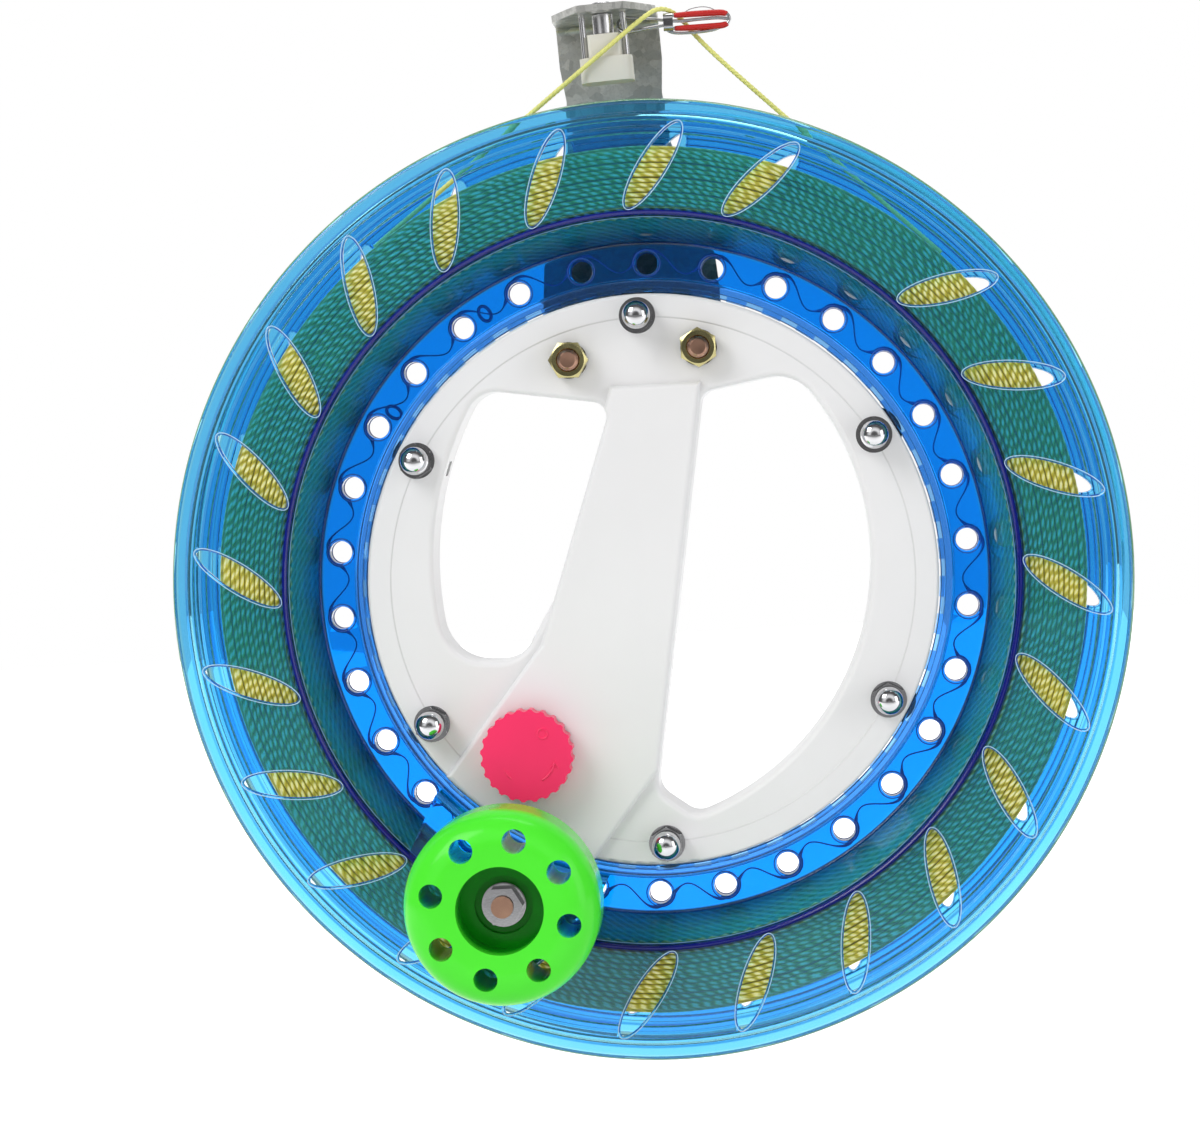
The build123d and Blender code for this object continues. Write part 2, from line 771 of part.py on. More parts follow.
with BuildPart() as lock_spindle:
    with BuildSketch(facing(cam_rear, lock_x, lock_z)):
        Circle(cam_r)
    extrude(amount=cam_t)
    with BuildSketch(facing(cam_rear - cam_t, lock_x, lock_z)):
        Circle(spindle_r)
    extrude(amount=knob_seat + cam_rear - cam_t)
    with BuildSketch(facing(-knob_seat, lock_x, lock_z)):
        Rectangle(lock_square, lock_square)
    extrude(amount=lock_socket_depth - slide_clear)
    with BuildSketch(facing(cam_rear, lock_x, lock_z)):
        Circle(journal_r)
    extrude(amount=-(journal_end - cam_rear))
    # spiral groove: its radius grows steadily with the turn, so the slide's travel does too
    with BuildSketch(facing(cam_rear, lock_x, lock_z, lock_angle)):
        with BuildLine(mode=Mode.PRIVATE) as spiral:
            Spline(
                [
                    (
                        (cam_start_r + pawl_travel * step / 8) * cos(radians(-cam_turn * step / 8)),
                        (cam_start_r + pawl_travel * step / 8) * sin(radians(-cam_turn * step / 8)),
                    )
                    for step in range(9)
                ]
            )
        trace(spiral.line, line_width=2 * (pawl_pin_r + slide_clear))
        with Locations(spiral.line @ 0, spiral.line @ 1):
            Circle(pawl_pin_r + slide_clear)
    extrude(amount=cam_groove_depth, mode=Mode.SUBTRACT)
save(lock_spindle, "lock_spindle")

with BuildPart() as lock_pawl:
    with BuildSketch(facing(pawl_rear, 0, 0, lock_angle)):
        with Locations(((pawl_inner_r + pawl_body_r) / 2, 0)):
            Rectangle(pawl_body_r - pawl_inner_r, 2 * pawl_half)
        with Locations(((pawl_body_r - pawl_tooth_root + pawl_tip_r) / 2, 0)):
            Rectangle(pawl_tip_r - pawl_body_r + pawl_tooth_root, pawl_tooth_w)
        # the spindle's journal passes through this slot over the whole travel
        with Locations((lock_radius - pawl_travel / 2, 0)):
            SlotCenterToCenter(pawl_travel, 2 * (journal_r + slide_clear), mode=Mode.SUBTRACT)
    extrude(amount=pawl_t)
    with BuildSketch(facing(pawl_front, 0, 0, lock_angle)):
        with Locations((lock_radius + cam_start_r, 0)):
            Circle(pawl_pin_r)
    extrude(amount=pawl_front - cam_rear + cam_groove_depth - slide_clear)
save(lock_pawl, "lock_pawl")

# ---------------------------------------------------------------- line guide

guide_side = Plane(origin=(guide_x, 0, guide_z), x_dir=(0, 1, 0), z_dir=guide_across)
foot_y = hub_half + bracket_t / 2
roof_mid = roof_underside + bracket_t / 2

with BuildPart() as guide_bracket:
    with BuildSketch(guide_side):
        with BuildLine(mode=Mode.PRIVATE) as strip:
            FilletPolyline(
                (foot_y, bracket_foot_low),
                (foot_y, bracket_bend_low),
                (bracket_rear, bracket_bend_high),
                (bracket_rear, roof_mid),
                (roof_front, roof_mid),
                radius=bracket_bend_r,
            )
        trace(strip.line, line_width=bracket_t)
    extrude(amount=2 * bracket_foot_half, both=True)
    with BuildSketch(guide_facing(2 * bracket_rear)):
        with BuildLine():
            half_outline = Polyline(
                (0, 2 * bracket_foot_low),
                (bracket_foot_half, 2 * bracket_foot_low),
                (bracket_foot_half, bracket_foot_high),
                (bracket_taper_half, bracket_taper_low),
                (bracket_neck_half, rim_height + bracket_taper_high),
                (bracket_waist_half, rim_height + bracket_waist_at),
                (bracket_head_half, rim_height + bracket_head_at),
                (bracket_head_half, 2 * roof_mid),
                (0, 2 * roof_mid),
            )
            mirror(half_outline, about=Plane.YZ)
        make_face()
    extrude(amount=4 * bracket_rear, mode=Mode.INTERSECT)
    with BuildSketch(guide_level(2 * bracket_foot_low)):
        with BuildLine():
            nose = Polyline(
                (0, roof_front),
                (roof_nose_half, roof_front),
                (roof_shoulder_half, roof_shoulder_at),
                (bracket_head_half, roof_full_at),
                (2 * bracket_foot_half, roof_full_at),
                (2 * bracket_foot_half, 2 * bracket_rear),
                (0, 2 * bracket_rear),
            )
            mirror(nose, about=Plane.YZ)
        make_face()
    extrude(amount=6 * roof_mid, mode=Mode.INTERSECT)
    with BuildSketch(guide_facing(hub_half + bracket_t)):
        with GridLocations(bolt5_spacing, 0, 2, 1):
            Circle(bolt5_r + shank_clear)
    extrude(amount=bracket_t, mode=Mode.SUBTRACT)
    # room for the head of the topmost bearing bolt
    with BuildSketch(facing(hub_half)):
        with PolarLocations(bearing_arm, 1, bearing_start):
            Circle(bolt4_head_af / 2 + bracket_head_gap)
    extrude(amount=-bracket_rear / 2, mode=Mode.SUBTRACT)
    with BuildSketch(guide_level(roof_underside)):
        with GridLocations(2 * guide_pin_half_gap, 0, 2, 1):
            Circle(guide_pin_r + ring_bore_clear)
        Circle(guide_axle_r + ring_bore_clear)
    extrude(amount=bracket_t, mode=Mode.SUBTRACT)
save(guide_bracket, "guide_bracket")

with BuildPart() as guide_block:
    with BuildSketch(guide_level(guide_block_base)):
        RectangleRounded(guide_block_w, guide_block_d, guide_block_round)
    extrude(amount=guide_step_height)
    with BuildSketch(guide_level(guide_block_step)):
        RectangleRounded(guide_block_neck_w, guide_block_neck_d, guide_neck_round)
    extrude(amount=guide_neck_height)
    with BuildSketch(guide_level(guide_block_step - guide_pin_sunk)):
        with GridLocations(2 * guide_pin_half_gap, 0, 2, 1):
            Circle(guide_pin_r + ring_bore_clear)
    extrude(amount=2 * guide_pin_sunk, mode=Mode.SUBTRACT)
    with BuildSketch(guide_level(guide_block_top - guide_axle_sunk)):
        Circle(guide_axle_r + ring_bore_clear)
    extrude(amount=guide_axle_sunk, mode=Mode.SUBTRACT)
save(guide_block, "guide_block")

with BuildPart() as guide_pins:
    with BuildSketch(guide_level(guide_block_step - guide_pin_sunk)):
        with GridLocations(2 * guide_pin_half_gap, 0, 2, 1):
            Circle(guide_pin_r)
    extrude(amount=roof_underside + bracket_t - guide_block_step + guide_pin_sunk)
    with BuildSketch(guide_level(roof_underside + bracket_t)):
        with GridLocations(2 * guide_pin_half_gap, 0, 2, 1):
            Circle(guide_pin_rivet_r)
    extrude(amount=guide_pin_rivet_t)
save(guide_pins, "guide_pins")

with BuildPart() as guide_axle:
    with BuildSketch(guide_level(guide_block_top - guide_axle_sunk)):
        Circle(guide_axle_r)
    extrude(amount=roof_underside + bracket_t - guide_block_top + guide_axle_sunk)
    with BuildSketch(guide_level(roof_underside + bracket_t)):
        Circle(guide_rivet_r)
    extrude(amount=guide_rivet_t)
    fillet(guide_axle.edges().sort_by(Axis.Z)[-1], guide_rivet_round)
save(guide_axle, "guide_axle")

with BuildPart() as guide_roller:
    with BuildSketch(guide_level(guide_block_top + slide_clear)):
        Circle(guide_roller_r)
        Circle(guide_axle_r + run_clear, mode=Mode.SUBTRACT)
    extrude(amount=roof_underside - guide_block_top - 2 * slide_clear)
save(guide_roller, "guide_roller")

with BuildPart() as bracket_bolts:
    with BuildSketch(guide_facing(hub_half + bracket_t + washer5_t)):
        with GridLocations(bolt5_spacing, 0, 2, 1):
            RegularPolygon(bolt5_af / 2, 6, major_radius=False)
    extrude(amount=-bolt5_head_t)
    with BuildSketch(guide_facing(hub_half + bracket_t + washer5_t)):
        with GridLocations(bolt5_spacing, 0, 2, 1):
            Circle(bolt5_r)
    extrude(amount=2 * hub_half + bracket_t + 2 * washer5_t + nut5_t + nut5_proud)
save(bracket_bolts, "bracket_bolts")

with BuildPart() as bracket_washers:
    for back in (hub_half + bracket_t + washer5_t, -hub_half):
        with BuildSketch(guide_facing(back)):
            with GridLocations(bolt5_spacing, 0, 2, 1):
                Circle(washer5_r)
                Circle(bolt5_r + shank_clear, mode=Mode.SUBTRACT)
        extrude(amount=washer5_t)
save(bracket_washers, "bracket_washers")

with BuildPart() as bracket_nuts:
    with BuildSketch(guide_facing(-hub_half - washer5_t)):
        with GridLocations(bolt5_spacing, 0, 2, 1):
            RegularPolygon(bolt5_af / 2, 6, major_radius=False)
            Circle(bolt5_r + ring_bore_clear, mode=Mode.SUBTRACT)
    extrude(amount=nut5_t)
save(bracket_nuts, "bracket_nuts")

# ---------------------------------------------------------------- snap clip

snap_collar_end = snap_collar_x + snap_collar_length
hook_plane = Plane(
    origin=(0, 0, snap_z),
    x_dir=(1, 0, 0),
    z_dir=(0, sin(radians(snap_hook_tilt)), -cos(radians(snap_hook_tilt))),
)

with BuildPart() as snap_hook:
    with BuildLine(hook_plane) as hook_path:
        FilletPolyline(
            (snap_collar_x - snap_seat_gap, -snap_neck_half),
            (snap_hook_reach, -snap_hook_half),
            (snap_hook_reach, snap_hook_half),
            (snap_collar_x - snap_seat_gap, snap_neck_half),
            radius=snap_hook_bend,
        )
    with BuildSketch(Plane(origin=hook_path.line @ 0, z_dir=hook_path.line % 0)):
        Circle(snap_wire_r)
    sweep(path=hook_path.line)
save(snap_hook, "snap_hook")

with BuildPart() as snap_loop:
    leg_end = snap_tip_x - snap_leg_half
    with BuildLine(facing(0, 0, snap_z)) as loop_path:
        Line((snap_collar_end, snap_leg_half), (leg_end, snap_leg_half))
        ThreePointArc((leg_end, snap_leg_half), (snap_tip_x, 0), (leg_end, -snap_leg_half))
        Line((leg_end, -snap_leg_half), (snap_collar_end, -snap_leg_half))
    with BuildSketch(Plane(origin=loop_path.line @ 0, z_dir=loop_path.line % 0)):
        Circle(snap_wire_r)
    sweep(path=loop_path.line)
save(snap_loop, "snap_loop")

with BuildPart() as snap_collar:
    with BuildSketch(Plane(origin=(snap_collar_x, 0, snap_z), x_dir=(0, 1, 0), z_dir=(1, 0, 0))):
        collar_height = 2 * (snap_leg_half + snap_wire_r + snap_collar_wall)
        RectangleRounded(2 * snap_collar_r, collar_height, snap_collar_round)
    extrude(amount=snap_collar_length)
save(snap_collar, "snap_collar")

with BuildPart() as snap_sleeves:
    with BuildSketch(Plane(origin=(snap_sleeve_start, 0, snap_z), x_dir=(0, 1, 0), z_dir=(1, 0, 0))):
        with GridLocations(0, 2 * snap_leg_half, 1, 2):
            Circle(snap_sleeve_r)
            Circle(snap_wire_r + snap_sleeve_clear, mode=Mode.SUBTRACT)
    extrude(amount=snap_sleeve_end - snap_sleeve_start)
save(snap_sleeves, "snap_sleeves")

# ---------------------------------------------------------------- free line

route = [Vector(*point) for point in line_route]
bend_radii = []
for before, corner, after in zip(route, route[1:], route[2:]):
    first, second = corner - before, after - corner
    turn = radians(first.get_angle(second))
    bend_radii.append(max(line_min_r, 0.45 * min(first.length, second.length) / tan(turn / 2)))
print("free line bend radii", [round(radius, 1) for radius in bend_radii])

with BuildPart() as line_free:
    with BuildLine() as free_path:
        FilletPolyline(*route, radius=bend_radii)
    with BuildSketch(Plane(origin=free_path.line @ 0, z_dir=free_path.line % 0)):
        Circle(line_d / 2)
    sweep(path=free_path.line)
save(line_free, "line_free")
free_length = free_path.wire().length
section = pi * line_d**2 / 4
print("free line length", round(free_length, 1))
print("tube volume over a straight rod's", round(line_free.part.volume / (section * free_length), 4))
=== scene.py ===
from math import cos, pi, radians, sin, sqrt

import bmesh
import bpy
import numpy as np
from mathutils import Matrix, Vector


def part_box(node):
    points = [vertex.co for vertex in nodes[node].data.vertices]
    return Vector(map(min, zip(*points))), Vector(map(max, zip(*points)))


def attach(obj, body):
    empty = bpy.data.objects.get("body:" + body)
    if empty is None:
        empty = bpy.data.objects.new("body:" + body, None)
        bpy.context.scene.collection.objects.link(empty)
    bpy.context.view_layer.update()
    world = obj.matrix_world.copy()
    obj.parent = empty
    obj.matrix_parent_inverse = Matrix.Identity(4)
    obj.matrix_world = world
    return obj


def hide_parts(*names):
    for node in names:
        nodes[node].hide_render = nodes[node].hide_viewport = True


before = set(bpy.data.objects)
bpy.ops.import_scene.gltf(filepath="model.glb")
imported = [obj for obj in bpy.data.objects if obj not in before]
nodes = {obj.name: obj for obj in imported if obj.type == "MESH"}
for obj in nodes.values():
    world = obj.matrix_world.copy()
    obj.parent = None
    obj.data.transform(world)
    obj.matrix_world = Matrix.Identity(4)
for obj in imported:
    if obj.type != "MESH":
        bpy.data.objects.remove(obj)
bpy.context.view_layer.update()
scene = bpy.context.scene
scene.view_settings.view_transform = "Standard"
MM = 0.001

# ---------------------------------------------------------------- sizes in millimetres, angles in radians
HALF, WEB, BOND = 19.0, 2.4, 0.05  # half the wheel's width, half the web and half the bond's gap
LIP_R, NECK_R, MOUTH_R, RIM_R = 69.4, 77.2, 83.8, 110.0  # lip beside the hub, the cone's two ends, and rim
SLOPE = (MOUTH_R - NECK_R) / HALF
SLOT_R, SLOT_LONG, SLOT_WIDE, SLOT_LEAN = 94.8, 11.3, 2.9, radians(-31.5)  # the middle's radius, half sizes and lean
SLOTS = [radians(-3.6 + place * 15) for place in range(24) if place != 4]  # one place has none
HOLE_CIRCLE_R, HOLE_R = 73.2, 2.6  # the radius of the circle that the web's holes stand on, and of each hole
HOLE_START, HOLE_STEP = radians(4), radians(12)
HOLES = [radians(4 + place * 12) for place in range(30)]
CRANK = (79.3, radians(242.6))
CRANK_X, CRANK_Z = CRANK[0] * cos(CRANK[1]), CRANK[0] * sin(CRANK[1])
RECESS_R, RECESS_DEPTH = 10.1, 7.0  # in the crank knob's front
LOCK_DEGREES = 231.4
LOCK = (49.2 * cos(radians(LOCK_DEGREES)), 49.2 * sin(radians(LOCK_DEGREES)))
HUB_STEP_R = 60.6  # where the hub's flat face steps down
PACK_R, PACK_HALF, TURN_STEPS = 98.1, 15.95, 200  # the wound line's radius, half its width, points a turn
TUNNEL_R = 83.0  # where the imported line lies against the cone
STRAND_STEP = 2.6  # length of line from one strand's crest to the next
LINE_D = 1.2


# ---------------------------------------------------------------- materials
class Mat:
    """A node material on one Principled shader, with short calls for its nodes."""

    def __init__(self, name, **sockets):
        self.material = bpy.data.materials.new(name)
        self.material.use_nodes = True
        self.tree = self.material.node_tree
        self.shader = self.tree.nodes["Principled BSDF"]
        for key, value in sockets.items():
            self.put(self.shader.inputs[key.replace("_", " ")], value)

    def put(self, socket, value):
        if isinstance(value, bpy.types.NodeSocket):
            self.tree.links.new(value, socket)
        elif hasattr(value, "__len__") and socket.type == "RGBA" and len(value) == 3:
            socket.default_value = (*value, 1)
        else:
            socket.default_value = value

    def node(self, kind, output=0, settings=None, **inputs):
        made = self.tree.nodes.new(kind)
        for key, value in (settings or {}).items():
            setattr(made, key, value)
        for key, value in inputs.items():
            key = int(key[1:]) if key[0] == "i" and key[1:].isdigit() else key.replace("_", " ")
            self.put(made.inputs[key], value)
        return made.outputs[output]

    def place(self):
        return self.node("ShaderNodeTexCoord", "Object")

    def axes(self, vector=None):
        split = self.tree.nodes.new("ShaderNodeSeparateXYZ")
        self.put(split.inputs[0], vector or self.place())
        return split.outputs

    def radius(self, centre=(0, 0)):
        """Distance from an axis along Y through a centre (x, z)."""
        x, _, z = self.axes()
        x = self.math("SUBTRACT", x, centre[0])
        z = self.math("SUBTRACT", z, centre[1])
        return self.math("SQRT", self.math("ADD", self.math("MULTIPLY", x, x), self.math("MULTIPLY", z, z)))

    def noise(self, scale, detail=3.0, rough=0.5):
        return self.node("ShaderNodeTexNoise", "Fac", Vector=self.place(), Scale=scale, Detail=detail, Roughness=rough)

    def math(self, kind, *values):
        made = self.tree.nodes.new("ShaderNodeMath")
        made.operation = kind
        for socket, value in zip(made.inputs, values):
            self.put(socket, value)
        return made.outputs[0]

    def near(self, value, middle, full, none, most=1):
        """A band round a middle: the most up to the distance full from it, and 0 from the distance none on."""
        return self.span(self.math("ABSOLUTE", self.math("SUBTRACT", value, middle)), full, none, most, 0)

    def span(self, value, low, high, to_low, to_high):
        return self.node("ShaderNodeMapRange", "Result", i0=value, i1=low, i2=high, i3=to_low, i4=to_high)

    def blend(self, fac, a, b, mode="MIX"):
        made = self.tree.nodes.new("ShaderNodeMix")
        made.data_type = "RGBA"
        made.blend_type = mode
        self.put(made.inputs[0], fac)
        self.put(made.inputs[6], a)
        self.put(made.inputs[7], b)
        return made.outputs[2]

    def bump(self, height, strength, distance, normal=None):
        made = self.tree.nodes.new("ShaderNodeBump")
        self.put(made.inputs["Height"], height)
        made.inputs["Strength"].default_value = strength
        made.inputs["Distance"].default_value = distance
        if normal is not None:
            self.put(made.inputs["Normal"], normal)
        return made.outputs["Normal"]

    def set(self, **sockets):
        for key, value in sockets.items():
            self.put(self.shader.inputs[key.replace("_", " ")], value)
        return self.material


def white_plastic(name, colour=(0.80, 0.795, 0.80), rough=0.38, border=None):
    """Moulded plastic; a border is the radius at which the hub's flat face steps down a little, and along it a dark
    line of painted shade is drawn.
    """
    m = Mat(name, IOR=1.5)
    broad = m.noise(22, 3)
    fine = m.noise(900, 2)
    grain = m.noise(3200, 2)
    tint = m.blend(m.span(broad, 0.35, 0.65, 0, 1), [c * 0.965 for c in colour], colour)
    normal = m.bump(m.math("ADD", m.math("MULTIPLY", fine, 0.5), grain), 0.12, 0.00008)
    if border:
        radius = m.radius()
        flat = m.span(m.math("ABSOLUTE", m.axes()[1]), 0.0091, 0.0093, 1, 0)
        # painted shade: a dark line along the step
        line = m.math("MULTIPLY", m.near(radius, border, 0.00005, 0.00028), flat)
        tint = m.blend(m.math("MULTIPLY", line, 0.35), tint, [c * 0.55 for c in colour])
        step = m.math("MULTIPLY", m.span(radius, border - 0.0002, border + 0.0001, 0, 1), flat)
        normal = m.bump(step, 0.6, 0.0003, normal)
    return m.set(Base_Color=tint, Roughness=m.span(fine, 0.3, 0.7, rough - 0.05, rough + 0.08), Normal=normal)


def clear_blue():
    """Clear plastic whose colour goes by the radius, as its walls lie behind each other there; painted shade darkens
    the cone's foot, the mouth and the rim's steps, and painted light brightens the lip and the rolled rim.
    """
    m = Mat("clear_blue_plastic", IOR=1.47, Transmission_Weight=0.95)
    broad = m.noise(30, 3)
    scuffs = m.noise(1500, 2)
    radius = m.radius()
    colour = m.blend(m.span(broad, 0.3, 0.7, 0, 1), (0.10, 0.52, 0.87), (0.13, 0.55, 0.90))
    # painted shade: a dark band at the cone's foot, where it meets the web
    cone_foot_shade = m.math("MULTIPLY", m.span(radius, 0.0788, 0.0812, 1, 0), m.span(radius, 0.0774, 0.0779, 0, 0.9))
    web = m.span(radius, 0.0770, 0.0776, 1, 0)
    # painted highlight: a paler band on the lip
    lip = m.span(radius, 0.0690, 0.0694, 1, 0)
    # painted light: a pale yellow-green glow on the rolled rim's rounded edge
    rolled_rim_glow = m.span(radius, 0.1086, 0.1096, 0, 0.7)
    # painted shade: a dark line in the corner at the cone's mouth, near the flanges' faces
    mouth = m.near(radius, 0.0841, 0.0009, 0.0013)
    near_face = m.span(m.math("ABSOLUTE", m.axes()[1]), 0.0150, 0.0170, 0, 1)
    colour = m.blend(cone_foot_shade, colour, (0.01, 0.16, 0.55))
    colour = m.blend(web, colour, (0.01, 0.50, 1.0))
    colour = m.blend(lip, colour, (0.22, 0.52, 0.92))
    # painted shade: a dark line at each step of the ribbed rim
    for step in (0.1021, 0.1036, 0.1051, 0.1068):  # the steps of the ribbed rim
        colour = m.blend(m.near(radius, step, 0.00015, 0.00035, 0.9), colour, (0.01, 0.20, 0.62))
    colour = m.blend(rolled_rim_glow, colour, (0.42, 0.60, 0.34))
    colour = m.blend(m.math("MULTIPLY", mouth, near_face), colour, (0.002, 0.03, 0.40))
    made = m.set(Base_Color=colour, Roughness=m.span(scuffs, 0.35, 0.75, 0.0, 0.03),
                 Normal=m.bump(broad, 0.05, 0.0004))
    # light passes through the plastic and takes its tint
    tint = m.tree.nodes.new("ShaderNodeBsdfTransparent")
    tint.inputs["Color"].default_value = (0.70, 0.90, 0.99, 1)
    rays = m.tree.nodes.new("ShaderNodeLightPath")
    mix = m.tree.nodes.new("ShaderNodeMixShader")
    m.tree.links.new(rays.outputs["Is Shadow Ray"], mix.inputs[0])
    m.tree.links.new(m.shader.outputs[0], mix.inputs[1])
    m.tree.links.new(tint.outputs[0], mix.inputs[2])
    m.tree.links.new(mix.outputs[0], m.tree.nodes["Material Output"].inputs[0])
    return made


def bright_metal(name, colour, rough, grain=0.08):
    m = Mat(name, Metallic=1.0)
    broad = m.noise(180, 3)
    fine = m.noise(2600, 2)
    tint = m.blend(m.span(broad, 0.3, 0.7, 0, 1), [c * 0.88 for c in colour], colour)
    return m.set(Base_Color=tint, Roughness=m.span(broad, 0.3, 0.7, rough * 0.75, rough * 1.35),
                 Normal=m.bump(fine, grain, 0.00006))


def galvanised():
    m = Mat("galvanised_sheet", Metallic=0.85)
    cells = m.node("ShaderNodeTexVoronoi", "Color", Vector=m.place(), Scale=480.0)
    speck = m.noise(1100, 3, 0.7)
    grey = m.node("ShaderNodeSeparateColor", 0, Color=cells)
    base = m.blend(m.span(grey, 0, 1, 0, 1), (0.40, 0.405, 0.385), (0.62, 0.62, 0.59))
    base = m.blend(m.span(speck, 0.5, 0.7, 0, 0.35), base, (0.22, 0.22, 0.20))
    return m.set(Base_Color=base, Roughness=m.span(speck, 0.3, 0.7, 0.32, 0.5),
                 Normal=m.bump(speck, 0.12, 0.0001))


def gloss_plastic(name, colour, rough=0.16):
    m = Mat(name, IOR=1.5)
    broad = m.noise(60, 3)
    fine = m.noise(1400, 2)
    tint = m.blend(m.span(broad, 0.3, 0.7, 0, 1), [c * 0.93 for c in colour], colour)
    return m.set(Base_Color=tint, Roughness=m.span(fine, 0.3, 0.7, rough, rough + 0.07),
                 Normal=m.bump(broad, 0.08, 0.0003))


def twisted_line(name, colour, dark_tone_and_shade):
    m = Mat(name, Sheen_Weight=0.25, Sheen_Roughness=0.4)
    fibres = m.noise(5200, 3, 0.6)
    broad = m.noise(140, 2)
    tint = m.blend(m.span(fibres, 0.3, 0.7, 0, 1), dark_tone_and_shade, colour)
    tint = m.blend(m.span(broad, 0.35, 0.65, 0, 0.35), tint, [min(1, c * 1.12) for c in colour])
    return m.set(Base_Color=tint, Roughness=m.span(fibres, 0.3, 0.7, 0.42, 0.6),
                 Normal=m.bump(fibres, 0.3, 0.00008))


def laid_line(name, colour, dark_tone_and_shade, highlight_colour):
    """The wound line: its strands run slantwise round it, by its own length and girth; painted shade lies in its
    grooves and furrows, and a painted highlight on its crests.
    """
    m = Mat(name, Sheen_Weight=0.2, Sheen_Roughness=0.4)
    u, v, _ = m.axes(m.node("ShaderNodeUVMap", settings={"uv_map": "lay"}))
    broad = m.noise(70, 2)
    phase = m.math("ADD", m.math("MULTIPLY", v, 2.0), m.math("DIVIDE", u, STRAND_STEP))
    phase = m.math("ADD", phase, m.math("MULTIPLY", broad, 2.5))
    strand = m.math("ABSOLUTE", m.math("SINE", m.math("MULTIPLY", phase, pi)))
    furrow = m.math("ABSOLUTE", m.math("SINE", m.math("MULTIPLY", v, 2 * pi)))
    fibres = m.noise(2600, 3, 0.6)
    # painted shade in the grooves between the strands
    tint = m.blend(m.span(strand, 0.05, 0.7, 0, 1), dark_tone_and_shade, colour)
    crest = m.math("SUBTRACT", strand, m.math("MULTIPLY", furrow, 0.4))
    # painted highlight along the strands' crests
    tint = m.blend(m.span(crest, 0.55, 0.85, 0, 1), tint, highlight_colour)
    # painted shade in the furrows between turns
    tint = m.blend(m.span(furrow, 0.6, 0.95, 0, 0.6), tint, [c * 0.7 for c in dark_tone_and_shade])
    tint = m.blend(m.span(fibres, 0.35, 0.7, 0, 0.3), tint, dark_tone_and_shade)
    tint = m.blend(m.span(broad, 0.35, 0.65, 0, 0.3), tint, colour)
    height = m.math("ADD", strand, m.math("MULTIPLY", fibres, 0.25))
    return m.set(Base_Color=tint, Roughness=m.span(fibres, 0.3, 0.7, 0.34, 0.5), Normal=m.bump(height, 0.7, 0.00025))


def packed_line(name, colour, dark_tone_and_shade, highlight_colour):
    """Line that lies against the tunnel's wall: rows of turns with slanting strands, with painted shade between the
    rows and a painted highlight on the strands.
    """
    m = Mat(name, Roughness=0.5)
    x, y, z = m.axes()
    wander = m.noise(40, 2)
    row = m.math("ADD", m.math("DIVIDE", y, 0.0024), m.math("MULTIPLY", wander, 1.5))
    around = m.math("MULTIPLY", m.math("ARCTAN2", z, x), TUNNEL_R / STRAND_STEP)
    ridge = m.math("ABSOLUTE", m.math("SINE", m.math("MULTIPLY", row, pi)))
    strand = m.math("ABSOLUTE", m.math("SINE", m.math("MULTIPLY", m.math("ADD", around, row), pi)))
    fibres = m.noise(2600, 3, 0.6)
    # painted shade between the rows of turns
    tint = m.blend(m.span(ridge, 0.1, 0.6, 0, 1), dark_tone_and_shade, colour)
    # painted highlight on the strands
    tint = m.blend(m.span(strand, 0.6, 1.0, 0, 0.8), tint, highlight_colour)
    tint = m.blend(m.span(fibres, 0.35, 0.7, 0, 0.3), tint, dark_tone_and_shade)
    return m.set(Base_Color=tint, Normal=m.bump(m.math("ADD", ridge, strand), 0.5, 0.0003))


def knob_plastic(name, colour, shaded, centre, recess_r, front, floor_y):
    """Glossy plastic with painted shade in the knob's recess, darker towards its floor."""
    m = Mat(name, IOR=1.5, Specular_IOR_Level=0.22)
    broad = m.noise(60, 3)
    fine = m.noise(1400, 2)
    tint = m.blend(m.span(broad, 0.3, 0.7, 0, 1), [c * 0.95 for c in colour], colour)
    inside = m.span(m.radius(centre), recess_r + 0.0001, recess_r + 0.0006, 1, 0)
    depth = m.span(m.axes()[1], front + 0.0008, floor_y, 0, 1)
    # painted shade, deepening towards the recess's floor
    tint = m.blend(m.math("MULTIPLY", inside, depth), tint, shaded)
    return m.set(Base_Color=tint, Roughness=m.span(fine, 0.3, 0.7, 0.14, 0.22), Normal=m.bump(broad, 0.08, 0.0003))


def dress(material, *names):
    for name in names:
        mesh = nodes[name].data
        mesh.materials.clear()
        mesh.materials.append(material)


knob_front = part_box("crank_knob")[0][1]
blue = clear_blue()
dress(white_plastic("white_hub_plastic", border=HUB_STEP_R * MM), "hub_front_cover", "hub_rear_cover")
dress(blue, "spool_front_half", "spool_rear_half")
dress(bright_metal("turned_steel", (0.62, 0.62, 0.63), 0.2), "bearing_inner_rings", "guide_pins", "guide_axle",
      "guide_roller")
dress(bright_metal("bearing_steel", (0.10, 0.10, 0.11), 0.3), *[f"bearing_ring_{i}" for i in range(1, 7)])
chrome = bright_metal("bright_chrome", (0.66, 0.66, 0.68), 0.1)
dress(chrome, "bearing_bolts", "bearing_washers", "acorn_nuts", "crank_sleeve", "crank_washer", "crank_nut")
clip_steel = bright_metal("clip_steel", (0.50, 0.50, 0.51), 0.14)
dress(clip_steel, "snap_hook", "snap_loop", "snap_collar")
zinc = bright_metal("yellow_zinc", (0.50, 0.45, 0.22), 0.24, 0.2)
dress(zinc, "bracket_nuts", "bracket_washers")
copper = bright_metal("coppered_steel", (0.48, 0.28, 0.20), 0.32, 0.5)
dress(copper, "crank_bolt", "bracket_bolts")
dress(galvanised(), "guide_bracket")
dress(gloss_plastic("natural_nylon", (0.70, 0.68, 0.60), 0.35), "guide_block")
pink = gloss_plastic("pink_knob_plastic", (1.0, 0.022, 0.135), 0.3)
